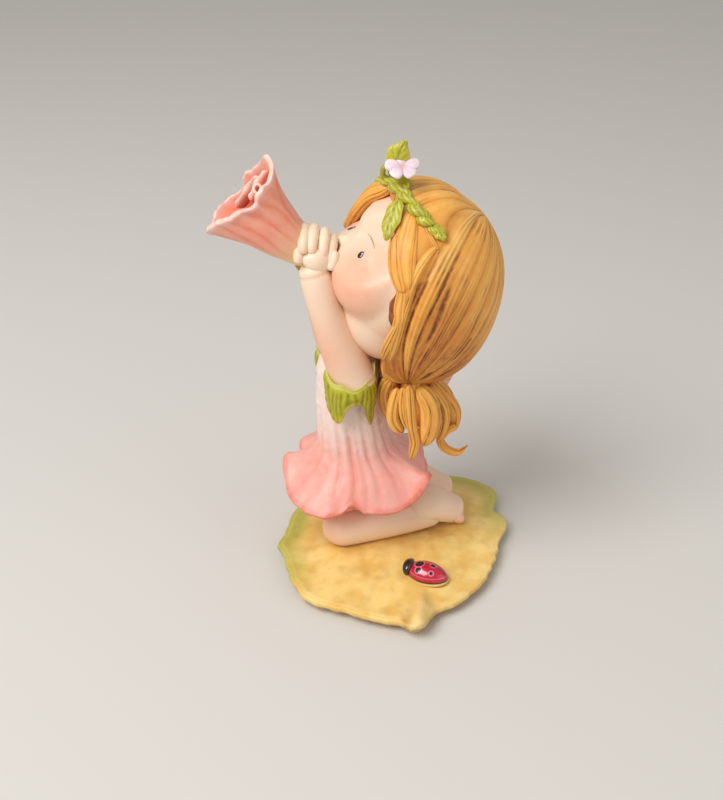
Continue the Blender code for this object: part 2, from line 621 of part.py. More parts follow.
def make_wreath() -> None:
    """Two twisted vines over the hair, leaves along them and one blossom on top."""
    near = ((114, -0.835), (99, -0.71), (85, -0.50), (78, -0.33))
    far = ((77, -0.11), (74, 0.08), (80, 0.35), (92, 0.60))
    path = smooth_path([on_hair(rise, across, -0.1 * MM) for rise, across in near + far], 2)
    rings = []
    for number, here in enumerate(path):
        ahead = (path[min(number + 1, len(path) - 1)] - path[max(number - 1, 0)]).normalized()
        out = (here - HEAD).normalized()
        side = ahead.cross(out)
        twist = number * math.pi / 3
        turns = [2 * math.pi * i / 6 for i in range(6)]
        radii = [VINE_RADIUS * (1.15 + 0.45 * math.cos(2 * (a - twist))) for a in turns]
        rings.append([here + (side * math.cos(a) + out * math.sin(a)) * r for a, r in zip(turns, radii)])
    form("vine", skin(rings), "green_paint")
    top = on_hair(80, -0.06, -0.9 * MM)
    leaves = (
        (top, top + Vector((0.02, 0.02, 1.0)) * WREATH_LEAF_LENGTH, Vector((-0.3, -1.0, 0.2))),
        (on_hair(78, -0.36), on_hair(56, -0.64, 0.9 * MM), on_hair(66, -0.5) - HEAD),
        (on_hair(100, -0.72), on_hair(116, -0.86, 0.5 * MM), on_hair(108, -0.8) - HEAD),
        (on_hair(78, 0.02), on_hair(68, 0.10, 2.2 * MM), Vector((-1.0, 0.0, 0.6))),
    )
    for number, (root, tip, facing) in enumerate(leaves):
        path = smooth_path([root, root.lerp(tip, 0.5) + facing.normalized() * 0.5 * MM, tip], 2)
        taper = shares(len(path), lambda t: 0.35 + 0.72 * math.sin(math.pi * (0.14 + 0.80 * t)))
        radii = [WREATH_LEAF_WIDTH / 2 * share for share in taper]
        form(f"wreath_leaf_{number}", tube(path, radii, 6, facing, BLADE_THICKNESS * 1.8), "green_paint")
    face = Vector((-0.25, -0.62, 0.74)).normalized()
    across = face.cross(Vector((0.0, 0.0, 1.0))).normalized()
    above = across.cross(face)
    centre = on_hair(81, -0.12, 3.4 * MM)
    levels = ((-1.35, 0.34), (-0.10, 0.85), (0.08, 1.0), (0.26, 0.85), (0.22, 0.38), (0.46, 0.24))
    count = 4 * BLOSSOM_PETALS
    rings = []
    for height, share in levels:
        ring = []
        for i in range(count):
            a = 2 * math.pi * i / count
            notch = 1 - 0.34 * (i % 4 == 0) * (share > 0.5)
            out = across * math.cos(a) + above * math.sin(a)
            ring.append(centre + (face * height + out * share * notch) * BLOSSOM_RADIUS)
        rings.append(ring)
    form("blossom", skin(rings), "blossom_paint")


def make_wing(side: int) -> None:
    """A petal wing, swept back from between the shoulders. Her left one is tucked under the curls."""
    back = DRESS_X + DRESS_WAIST_RADIUS * 0.6
    root = Vector((back, MIDDLE_Y + side * 2.2 * MM, SHOULDER_Z - 9 * MM))
    sweep = Vector((0.93, side * 0.30, -0.26)).normalized()
    tip = root + sweep * WING_LENGTH * (TUCKED_WING_SHARE if side < 0 else 1.0)
    facing = Vector((-0.30, side * 0.95, 0.0))
    middle = root.lerp(tip, 0.5) + Vector((0, side * 0.8 * MM, 0.4 * MM))
    path = smooth_path([root, middle, tip], 3)
    taper = shares(len(path), lambda t: 0.40 + 0.60 * math.sin(math.pi * t * 0.62) + 0.06 * math.cos(9 * t))
    radii = [WING_WIDTH * share for share in taper]
    form(f"wing_{side}", tube(path, radii, 8, facing, BLADE_THICKNESS * 1.8), "dress_paint")


def make_ladybird() -> None:
    """A ladybird on the leaf: a domed back and a round head."""
    centre = Vector((LADYBIRD_X, LADYBIRD_Y, LEAF_CROWN - 0.4 * MM))
    turn = Matrix.Rotation(math.radians(LADYBIRD_HEADING_DEG), 4, "Z")
    size = Matrix.Diagonal((LADYBIRD_LENGTH / 2, LADYBIRD_WIDTH / 2, LADYBIRD_HEIGHT, 1.0))
    form("ladybird_back", ball(centre, 1.0, 14, 8, turn @ size), "ladybird_paint")
    head = centre + turn.to_3x3() @ Vector((LADYBIRD_LENGTH * 0.44, 0.0, LADYBIRD_HEIGHT * 0.2))
    form("ladybird_head", ball(head, LADYBIRD_WIDTH * 0.27, 10, 6), "ladybird_paint")


def cast(name: str) -> bpy.types.Object:
    """Joins every form into one casting. The leaf is the first, because it carries the others."""
    forms = bpy.data.collections["forms"]
    casting = forms.objects["leaf"]
    forms.objects.unlink(casting)
    bpy.context.scene.collection.objects.link(casting)
    casting.name = name
    casting.data.name = name
    casting.hide_render = False
    casting.display_type = "TEXTURED"
    join = casting.modifiers.new("join forms", "BOOLEAN")
    join.operation = "UNION"
    join.operand_type = "COLLECTION"
    join.collection = forms
    join.solver = "MANIFOLD"
    join.material_mode = "TRANSFER"
    return casting


def main() -> None:
    """Clears the scene, makes every form and casts them."""
    for old in list(bpy.data.objects):
        bpy.data.objects.remove(old)
    forms = bpy.data.collections.new("forms")
    bpy.context.scene.collection.children.link(forms)
    make_leaf()
    make_dress()
    make_trumpet()
    make_hands()
    make_head()
    make_hair()
    make_curls()
    make_wreath()
    make_ladybird()
    for side in (-1, 1):
        make_leg(side)
        make_arm(side)
        make_wing(side)
    cast("figurine")


main()
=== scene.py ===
"""The looks of a kneeling resin fairy who blows a flower trumpet on a leaf.

Sizes in the classes are millimetres, in the frame of the solids: the fairy faces -X, her left
side is -Y, and the leaf's flat underside is at zero.
"""

import itertools
import logging
import math
from collections.abc import Callable
from dataclasses import dataclass
from enum import Enum
from typing import ClassVar

import bpy
import numpy as np
from mathutils import Matrix, Vector


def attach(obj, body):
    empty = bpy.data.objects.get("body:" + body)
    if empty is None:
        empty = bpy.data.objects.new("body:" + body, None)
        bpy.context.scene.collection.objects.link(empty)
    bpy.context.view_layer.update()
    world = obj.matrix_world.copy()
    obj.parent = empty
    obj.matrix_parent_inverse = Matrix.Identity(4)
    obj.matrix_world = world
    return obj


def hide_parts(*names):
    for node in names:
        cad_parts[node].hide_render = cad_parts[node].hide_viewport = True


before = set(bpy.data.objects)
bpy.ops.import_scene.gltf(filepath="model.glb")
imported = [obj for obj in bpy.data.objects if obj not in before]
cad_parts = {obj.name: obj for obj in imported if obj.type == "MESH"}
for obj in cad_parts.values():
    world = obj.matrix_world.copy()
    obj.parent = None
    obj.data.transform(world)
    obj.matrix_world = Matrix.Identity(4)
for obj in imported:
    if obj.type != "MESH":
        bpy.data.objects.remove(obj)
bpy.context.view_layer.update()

log = logging.getLogger("fairy")

MM = 0.001
BODY = "root"
NODE = "figurine"
Rows = tuple[tuple[float, ...], ...]
Place = tuple[float, float, float]
Paints = dict[str, np.ndarray]
Painted = tuple[np.ndarray, Paints]
Form = Callable[[np.ndarray, np.ndarray], Painted]

# The sine noise in patches: one number a direction, one that scatters, one between seeds
HASH = (12.9898, 78.233, 37.719)
SCATTER = 43758.5453
SEED_STEP = 17.31
# Points closer than this are one point: the seam and the poles of a rolled skin
SEAM_GAP = 2e-6


# Numbers and curves


def linear(code: str) -> tuple[float, float, float, float]:
    """Turns an sRGB hex colour into a linear one.

    Args:
        code: six hex digits.

    Returns:
        Linear red, green, blue and a full alpha.
    """
    parts = [int(code[i : i + 2], 16) / 255 for i in (0, 2, 4)]
    return (*[c / 12.92 if c <= 0.04045 else ((c + 0.055) / 1.055) ** 2.4 for c in parts], 1.0)


def unit(vectors: np.ndarray) -> np.ndarray:
    """Scales each vector, or one, to a length of one."""
    return vectors / np.maximum(np.linalg.norm(vectors, axis=-1, keepdims=True), 1e-9)


def ease(low: float, high: float, value: np.ndarray) -> np.ndarray:
    """0 below low, 1 above high, and an even S between them."""
    t = np.clip((value - low) / (high - low), 0, 1)
    return t * t * (3 - 2 * t)


def hump(value: np.ndarray, at: float, width: float) -> np.ndarray:
    """1 at a value, and falling away to about a third one width off it."""
    return np.exp(-(((value - at) / width) ** 2))


def off_by(angle_deg: np.ndarray, at_deg: float) -> np.ndarray:
    """How far round angles lie from another one, from -180 to 180 degrees."""
    return np.mod(angle_deg - at_deg + 180, 360) - 180


def side_name(side: int) -> str:
    """The side's name: -1 is her left and 1 her right."""
    return "left" if side < 0 else "right"


def forward(angle_deg: float, aside: float = 0.0) -> np.ndarray:
    """The direction out of her face, this far above level and this much to her right."""
    a = math.radians(angle_deg)
    return unit(np.array((-math.cos(a), aside, math.sin(a))))


def toward(rise_deg: float, across: float) -> np.ndarray:
    """The direction this far above level, seen from her left, with this share to her right."""
    a = math.radians(rise_deg)
    flat = math.sqrt(1 - across**2)
    return np.array((-flat * math.cos(a), across, flat * math.sin(a)))


def between(
    a: np.ndarray, b: np.ndarray, c: np.ndarray, d: np.ndarray, t: np.ndarray
) -> np.ndarray:
    """A smooth curve from b to c, read at shares of the way, with the values before and after."""
    return 0.5 * (2 * b + (c - a) * t + (2 * a - 5 * b + 4 * c - d) * t**2 + (3 * b - a - 3 * c + d) * t**3)


def through(rows: Rows, share: np.ndarray) -> np.ndarray:
    """Reads a smooth curve that runs through rows of numbers.

    Args:
        rows: what the curve runs through, at even shares of its length.
        share: where it is read, from 0 to 1.

    Returns:
        One row of numbers for each share.
    """
    table = np.asarray(rows, dtype=float)
    table = np.vstack((2 * table[0] - table[1], table, 2 * table[-1] - table[-2]))
    place = np.clip(share, 0, 1) * (len(rows) - 1)
    start = np.minimum(place.astype(int), len(rows) - 2)
    t = (place - start)[:, None]
    a, b, c, d = (table[start + k] for k in range(4))
    return between(a, b, c, d, t)


def around(rows: Rows, angle_deg: np.ndarray, column: int) -> np.ndarray:
    """Reads a smooth closed curve from rows that start with an angle.

    Args:
        rows: the angle in degrees first, then the values, with the angles rising.
        angle_deg: where the curve is read.
        column: which value is read.

    Returns:
        One value for each angle.
    """
    table = np.asarray(rows, dtype=float)
    angle = np.mod(angle_deg, 360)
    after = np.searchsorted(table[:, 0], angle, side="right")
    places = [(after + k) % len(table) for k in (-2, -1, 0, 1)]
    a, b, c, d = (table[place, column] for place in places)
    span = np.mod(table[places[2], 0] - table[places[1], 0], 360)
    t = np.mod(angle - table[places[1], 0], 360) / np.where(span == 0, 360, span)
    return between(a, b, c, d, t)


def patches(points: np.ndarray, size: float, seed: float = 0.0) -> np.ndarray:
    """Smooth, even noise in space.

    Args:
        points: one place in each row, in any unit.
        size: how wide one patch is, in that unit.
        seed: another number gives another noise.

    Returns:
        One value from -1 to 1 for each place.
    """
    scaled = points / size + seed * SEED_STEP
    cell = np.floor(scaled)
    part = scaled - cell
    part = part * part * (3 - 2 * part)
    total = np.zeros(len(points))
    for corner in itertools.product((0, 1), repeat=points.shape[1]):
        weight = np.prod(np.where(corner, part, 1 - part), axis=1)
        key = (cell + corner) @ np.array(HASH)[: points.shape[1]]
        chance = np.sin(key) * SCATTER
        total += weight * (2 * (chance - np.floor(chance)) - 1)
    return total


def combed(phase: np.ndarray, sharp: float = 0.5) -> np.ndarray:
    """Strands side by side: 0 in each groove, at whole phases, and 1 on each ridge."""
    return np.abs(np.sin(math.pi * phase)) ** sharp


# Paints


def add_node(
    tree: bpy.types.NodeTree, kind: str, settings: dict, links: dict | None = None
) -> bpy.types.Node:
    """Adds a node to a material.

    Args:
        tree: the material's nodes.
        kind: the node's Blender name.
        settings: values by the name of a property, or by the name or number of an input.
        links: sockets to link from, by the name or number of the input.

    Returns:
        The new node.
    """
    node = tree.nodes.new(kind)
    for key, value in settings.items():
        if isinstance(key, str) and hasattr(node, key):
            setattr(node, key, value)
        else:
            node.inputs[key].default_value = value
    for key, source in (links or {}).items():
        tree.links.new(source, node.inputs[key])
    return node


class Sheen(Enum):
    """How the paint on a piece was sealed: its roughness and its clear coat."""

    SATIN = (0.46, 0.10)
    SILK = (0.38, 0.18)
    LACQUER = (0.16, 1.0)


@dataclass(frozen=True)
class BrushedPaint:
    """Acrylic paint brushed by hand on cast polyresin.

    The base coat is patchy at the scale of a brush dab. A thin brown wash has run into every
    groove and dried there, and a nearly dry brush has left a paler colour on the ridges. The
    wash colour also paints shade under, inside and low on pieces, the dry colour also paints
    highlights, and the tint paints shade in some places. The pieces say where, in three point
    attributes: the wash with painted shade, the dry brushing with painted highlight, and the tint.
    """

    name: str
    base: str
    patch: str
    # the wash colour: the wash in the grooves, and painted shade
    wash: str
    # the dry colour: dry brushing on the ridges, and painted highlights
    dry: str
    tint: str
    patch_mm: float = 5.0
    patch_share: float = 0.5
    wash_share: float = 0.9
    dry_share: float = 0.7
    speck: str = "8a5a34"
    speck_mm: float = 0.6
    speck_share: float = 0.0
    grain_mm: float = 0.5
    streak_mm: float = 1.6
    waxy: float = 0.06
    bump_mm: float = 0.04
    sheen: Sheen = Sheen.SATIN

    def material(self) -> bpy.types.Material:
        """Makes the paint's material, or gives the one that is there.

        Returns:
            The material.
        """
        found = bpy.data.materials.get(self.name)
        if found:
            return found
        made = bpy.data.materials.new(self.name)
        made.use_nodes = True
        tree = made.node_tree
        shader = tree.nodes["Principled BSDF"]
        place = add_node(tree, "ShaderNodeTexCoord", {}).outputs["Object"]
        colour = self.base_coat(tree, place)
        colour = self.second_coats(tree, place, colour)
        tree.links.new(colour, shader.inputs["Base Color"])
        roughness, coat = self.sheen.value
        grain = add_node(
            tree, "ShaderNodeTexNoise", {"Scale": 1 / (self.grain_mm * MM), "Detail": 3.0}, {"Vector": place}
        )
        dull = add_node(
            tree,
            "ShaderNodeMapRange",
            {"From Min": 0.3, "From Max": 0.7, "To Min": roughness - 0.06, "To Max": roughness + 0.08},
            {"Value": grain.outputs["Fac"]},
        )
        tree.links.new(dull.outputs["Result"], shader.inputs["Roughness"])
        bump = add_node(
            tree,
            "ShaderNodeBump",
            {"Strength": 0.5, "Distance": self.bump_mm * MM},
            {"Height": grain.outputs["Fac"]},
        )
        tree.links.new(bump.outputs["Normal"], shader.inputs["Normal"])
        shader.inputs["Coat Weight"].default_value = coat
        shader.inputs["Coat Roughness"].default_value = 0.12
        shader.inputs["Subsurface Weight"].default_value = self.waxy
        shader.inputs["Subsurface Radius"].default_value = (1.0, 0.55, 0.35)
        shader.inputs["Subsurface Scale"].default_value = 1.2 * MM
        shader.inputs["IOR"].default_value = 1.48
        made.diffuse_color = linear(self.base)
        return made

    def base_coat(self, tree: bpy.types.NodeTree, place: bpy.types.NodeSocket) -> bpy.types.NodeSocket:
        """The base colour with its brush dabs and, where the paint has them, its dark specks.

        Args:
            tree: the material's nodes.
            place: the socket that gives the place on the piece.

        Returns:
            The socket that gives the colour.
        """
        dabs = add_node(
            tree, "ShaderNodeTexNoise", {"Scale": 1 / (self.patch_mm * MM), "Detail": 4.0}, {"Vector": place}
        )
        share = add_node(
            tree,
            "ShaderNodeMapRange",
            {
                "interpolation_type": "SMOOTHSTEP",
                "From Min": 0.38,
                "From Max": 0.66,
                "To Max": self.patch_share,
            },
            {"Value": dabs.outputs["Fac"]},
        )
        colour = add_node(
            tree,
            "ShaderNodeMix",
            {"data_type": "RGBA", 6: linear(self.base), 7: linear(self.patch)},
            {0: share.outputs["Result"]},
        ).outputs[2]
        if not self.speck_share:
            return colour
        stretched = add_node(tree, "ShaderNodeMapping", {"Scale": (1.0, 1.0, 0.35)}, {"Vector": place})
        dots = add_node(
            tree,
            "ShaderNodeTexNoise",
            {"Scale": 1 / (self.speck_mm * MM), "Detail": 2.0, "Roughness": 0.6},
            {"Vector": stretched.outputs["Vector"]},
        )
        few = add_node(
            tree,
            "ShaderNodeMapRange",
            {"From Min": 0.68, "From Max": 0.76, "To Max": self.speck_share},
            {"Value": dots.outputs["Fac"]},
        )
        return add_node(
            tree,
            "ShaderNodeMix",
            {"data_type": "RGBA", 7: linear(self.speck)},
            {0: few.outputs["Result"], 6: colour},
        ).outputs[2]

    def second_coats(
        self, tree: bpy.types.NodeTree, place: bpy.types.NodeSocket, colour: bpy.types.NodeSocket
    ) -> bpy.types.NodeSocket:
        """The tint, the dry brushing with painted highlights and the wash with painted shade, each where the
        piece's attribute says.

        Args:
            tree: the material's nodes.
            place: the socket that gives the place on the piece.
            colour: the socket that gives the base coat.

        Returns:
            The socket that gives the finished colour.
        """
        streaks = add_node(
            tree, "ShaderNodeTexNoise", {"Scale": 1 / (self.streak_mm * MM), "Detail": 3.0}, {"Vector": place}
        )
        broken = add_node(
            tree,
            "ShaderNodeMapRange",
            {"From Min": 0.3, "From Max": 0.6, "To Min": 0.55, "To Max": 1.1},
            {"Value": streaks.outputs["Fac"]},
        )
        even = add_node(
            tree,
            "ShaderNodeMapRange",
            {"From Min": 0.3, "From Max": 0.7, "To Min": 0.86, "To Max": 1.04},
            {"Value": streaks.outputs["Fac"]},
        )
        coats = (
            ("tint", self.tint, 1.0),
            ("dry", self.dry, self.dry_share),
            ("wash", self.wash, self.wash_share),
        )
        for attribute, code, share in coats:
            amount = add_node(tree, "ShaderNodeAttribute", {"attribute_name": attribute})
            laid = add_node(
                tree,
                "ShaderNodeMath",
                {"operation": "MULTIPLY", "use_clamp": True},
                {0: amount.outputs["Fac"], 1: (even if attribute == "tint" else broken).outputs["Result"]},
            )
            laid = add_node(tree, "ShaderNodeMath", {"operation": "MULTIPLY", 1: share}, {0: laid.outputs[0]})
            colour = add_node(
                tree,
                "ShaderNodeMix",
                {"data_type": "RGBA", 7: linear(code)},
                {0: laid.outputs[0], 6: colour},
            ).outputs[2]
        return colour


# Skin: warm cream acrylic with an orange blush on cheeks and elbows, slightly waxy like the resin.
# Its pale cream is also a painted highlight on the nose, hands, wrists and heels. Its brown and
# orange also paint shade under the jaw, on the neck, under the arches, in the wrist creases and
# on the shins by the leaf
SKIN = BrushedPaint(
    "skin_acrylic",
    "f8d9bf",
    "f6d0b2",
    "d88860",
    "fff0d2",
    "ee8f66",
    patch_mm=9.0,
    patch_share=0.4,
    waxy=0.12,
)
# Hair: golden ochre over a red-brown wash that stays in the combed grooves. The red-brown and
# the darker orange tint also paint shade low on the hair and by her face, and the pale yellow
# is a painted highlight on the ridges higher up
HAIR = BrushedPaint(
    "hair_acrylic",
    "f6ae40",
    "ea942c",
    "6c2406",
    "ffd384",
    "b85512",
    patch_share=0.7,
    bump_mm=0.03,
)
# Dress: almost white at the waist, brushed to salmon at the hem, with fine dark scuffs
DRESS = BrushedPaint(
    "petal_pink_acrylic",
    "efd4c8",
    "f0ccbe",
    "d4624a",
    "f8e6dc",
    "f3a192",
    speck="5a3a34",
    speck_mm=0.45,
    speck_share=0.8,
)
# Trumpet: salmon brushed towards cream at the pipe, with a white rim
TRUMPET_PINK = BrushedPaint(
    "trumpet_acrylic", "f98f72", "fba98a", "b43c20", "fdece2", "f4d6a0", patch_mm=3.0, sheen=Sheen.SILK
)
# Leaf: cream yellow with ochre dabs, olive where it was brushed towards the edge
LEAF_OCHRE = BrushedPaint(
    "leaf_acrylic",
    "f6d483",
    "e3b04a",
    "94611a",
    "f8dea4",
    "b6b24a",
    patch_share=0.6,
    speck="7a5a28",
    speck_share=0.4,
)
# Leaves worn by her: yellow green with dark olive in the folds; the dark olive also paints shade
# inside the collar cups and on the vines' undersides
SPRING_GREEN = BrushedPaint(
    "spring_green_acrylic", "b8b418", "a89a10", "5a4a02", "e2de7c", "c08420", patch_mm=2.5, sheen=Sheen.SILK
)
# Blossom: white with lilac in the folds
BLOSSOM_LILAC = BrushedPaint(
    "blossom_acrylic", "ecd6dc", "e0c0d2", "b080a8", "faf2f2", "e8b83c", patch_mm=1.5
)
# Wings: the salmon of the hem, paler at the root
WING_PINK = BrushedPaint("wing_acrylic", "f0b0a2", "eea294", "c8604c", "fad6c8", "ea8c80", patch_mm=3.0)
# Black enamel: her eyes and the ladybird's head, glossy
BLACK_ENAMEL = BrushedPaint(
    "black_enamel", "1c1614", "241c18", "0c0808", "5a4a44", "1c1614", waxy=0.0, sheen=Sheen.LACQUER
)
# Brows: thin brown line
BROW_BROWN = BrushedPaint("brow_acrylic", "ba9470", "b08a66", "94664a", "cca68c", "ba9470", waxy=0.0)
# Highlight in the eye
WHITE_ENAMEL = BrushedPaint("white_enamel", "f0ece4", "f0ece4", "d0c8c0", "ffffff", "f0ece4", waxy=0.0)


@dataclass(frozen=True)
class ShellLacquer:
    """Red enamel under clear lacquer on the ladybird, with ringed black spots and a pale line.

    Each spot is x, y, z and its radius, in millimetres.
    """

    name: str = "ladybird_enamel"
    red: str = "d6103a"
    deep: str = "a80824"
    ring: str = "e87890"
    black: str = "14080a"
    cloud_mm: float = 1.6
    ring_width: float = 0.22
    soft_edge: float = 0.05
    spots: Rows = ()

    def material(self) -> bpy.types.Material:
        """Makes the enamel's material.

        Returns:
            The material.
        """
        made = bpy.data.materials.new(self.name)
        made.use_nodes = True
        tree = made.node_tree
        shader = tree.nodes["Principled BSDF"]
        place = add_node(tree, "ShaderNodeTexCoord", {}).outputs["Object"]
        cloud = add_node(
            tree, "ShaderNodeTexNoise", {"Scale": 1 / (self.cloud_mm * MM), "Detail": 2.0}, {"Vector": place}
        )
        colour = add_node(
            tree,
            "ShaderNodeMix",
            {"data_type": "RGBA", 6: linear(self.deep), 7: linear(self.red)},
            {0: cloud.outputs["Fac"]},
        ).outputs[2]
        for x, y, z, radius in self.spots:
            away = add_node(
                tree,
                "ShaderNodeVectorMath",
                {"operation": "DISTANCE", 1: (x * MM, y * MM, z * MM)},
                {0: place},
            ).outputs["Value"]
            for code, reach in ((self.ring, radius + self.ring_width), (self.black, radius)):
                inside = add_node(
                    tree,
                    "ShaderNodeMapRange",
                    {"From Min": (reach + self.soft_edge) * MM, "From Max": (reach - self.soft_edge) * MM},
                    {"Value": away},
                )
                colour = add_node(
                    tree,
                    "ShaderNodeMix",
                    {"data_type": "RGBA", 7: linear(code)},
                    {0: inside.outputs[0], 6: colour},
                ).outputs[2]
        for attribute, code in (("dry", self.ring), ("wash", self.black)):
            amount = add_node(tree, "ShaderNodeAttribute", {"attribute_name": attribute})
            colour = add_node(
                tree,
                "ShaderNodeMix",
                {"data_type": "RGBA", 7: linear(code)},
                {0: amount.outputs["Fac"], 6: colour},
            ).outputs[2]
        tree.links.new(colour, shader.inputs["Base Color"])
        shader.inputs["Roughness"].default_value = 0.2
        shader.inputs["Coat Weight"].default_value = 1.0
        shader.inputs["Coat Roughness"].default_value = 0.06
        return made


Finish = BrushedPaint | ShellLacquer


# Making pieces


def deselect() -> None:
    """Deselects all, because an operator acts on whatever is selected."""
    bpy.ops.object.select_all(action="DESELECT")


def dress_piece(piece: bpy.types.Object, name: str, finish: Finish) -> bpy.types.Object:
    """Names a piece, paints it, and ties it to the casting that it stands for.

    Args:
        piece: the finished piece.
        name: its name.
        finish: its paint.

    Returns:
        The piece.
    """
    piece.name = name
    piece.data.name = name
    piece.data.materials.clear()
    piece.data.materials.append(finish.material())
    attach(piece, BODY)
    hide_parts(NODE)
    log.info("%s: %d faces in %s", name, len(piece.data.polygons), finish.name)
    return piece


def give_paints(mesh: bpy.types.Mesh, paints: Paints) -> None:
    """Writes each paint's share to a point attribute of its name."""
    for key, share in paints.items():
        layer = mesh.attributes.new(key, "FLOAT", "POINT")
        layer.data.foreach_set("value", np.clip(share, 0, 1).astype(np.float32))


def close_up(piece: bpy.types.Object) -> None:
    """Merges the seam and the poles, turns the faces outwards and shades the piece smooth."""
    bpy.ops.object.mode_set(mode="EDIT")
    bpy.ops.mesh.select_all(action="SELECT")
    bpy.ops.mesh.remove_doubles(threshold=SEAM_GAP)
    bpy.ops.mesh.normals_make_consistent(inside=False)
    bpy.ops.object.mode_set(mode="OBJECT")
    bpy.ops.object.shade_smooth()


def rolled(name: str, columns: int, rows: int, form: Form, finish: Finish) -> bpy.types.Object:
    """Rolls a grid up into a closed skin, as a sheet of clay is rolled, and paints it.

    Args:
        name: the piece's name.
        columns: faces round the piece.
        rows: faces along it.
        form: gives places in millimetres and paints, from the shares round and along.
        finish: the piece's paint.

    Returns:
        The finished piece.
    """
    deselect()
    bpy.ops.mesh.primitive_grid_add(x_subdivisions=columns, y_subdivisions=rows, size=2.0)
    piece = bpy.context.object
    flat = np.empty(len(piece.data.vertices) * 3)
    piece.data.vertices.foreach_get("co", flat)
    flat = flat.reshape(-1, 3)
    places, paints = form((flat[:, 0] + 1) / 2, (flat[:, 1] + 1) / 2)
    piece.data.vertices.foreach_set("co", (places * MM).ravel())
    give_paints(piece.data, paints)
    close_up(piece)
    return dress_piece(piece, name, finish)


@dataclass(frozen=True)
class Limb:
    """A long rounded form along a curve: an arm, a finger, a lock, a leaf blade or a wing.

    Each knot is x, y, z, half the width and half the depth, in millimetres. The depth is
    measured along the facing direction.
    """

    knots: Rows
    facing: Place = (0.0, -1.0, 0.0)
    blunt: tuple[float, float] = (0.12, 0.12)

    def frame(self, v: np.ndarray) -> tuple[np.ndarray, ...]:
        """The curve's places, side and normal directions, half sizes and rounding of the ends."""
        # The rows crowd towards the ends, where the skin rounds off
        v = 0.45 * v + 0.55 * (0.5 - 0.5 * np.cos(math.pi * v))
        rows = through(self.knots, v)
        ahead = unit(through(self.knots, v + 0.002)[:, :3] - through(self.knots, v - 0.002)[:, :3])
        facing = unit(np.array(self.facing))
        normal = unit(facing - (ahead @ facing)[:, None] * ahead)
        side = np.cross(ahead, normal)
        first, last = self.blunt
        near_start = np.sqrt(np.clip(1 - (1 - np.minimum(v / first, 1)) ** 2, 0, 1))
        near_end = np.sqrt(np.clip(1 - (1 - np.minimum((1 - v) / last, 1)) ** 2, 0, 1))
        return rows[:, :3], side, normal, rows[:, 3], rows[:, 4], near_start * near_end

    def form(self, u: np.ndarray, v: np.ndarray, swell: np.ndarray | float = 0.0) -> np.ndarray:
        """Places of the limb's skin, with a carved or swollen depth in millimetres added to it."""
        middle, side, normal, width, depth, ends = self.frame(v)
        turn = 2 * math.pi * u
        across = ((width + swell) * ends * np.cos(turn))[:, None] * side
        out = ((depth + swell) * ends * np.sin(turn))[:, None] * normal
        return middle + across + out


def plain(limb: Limb, **paint: float) -> Form:
    """A form for a limb without carving, with even shares of paint."""

    def form(u: np.ndarray, v: np.ndarray) -> Painted:
        """The limb's skin as it is."""
        return limb.form(u, v), {key: np.full(len(u), share) for key, share in paint.items()}

    return form


# The figurine, from the ground up


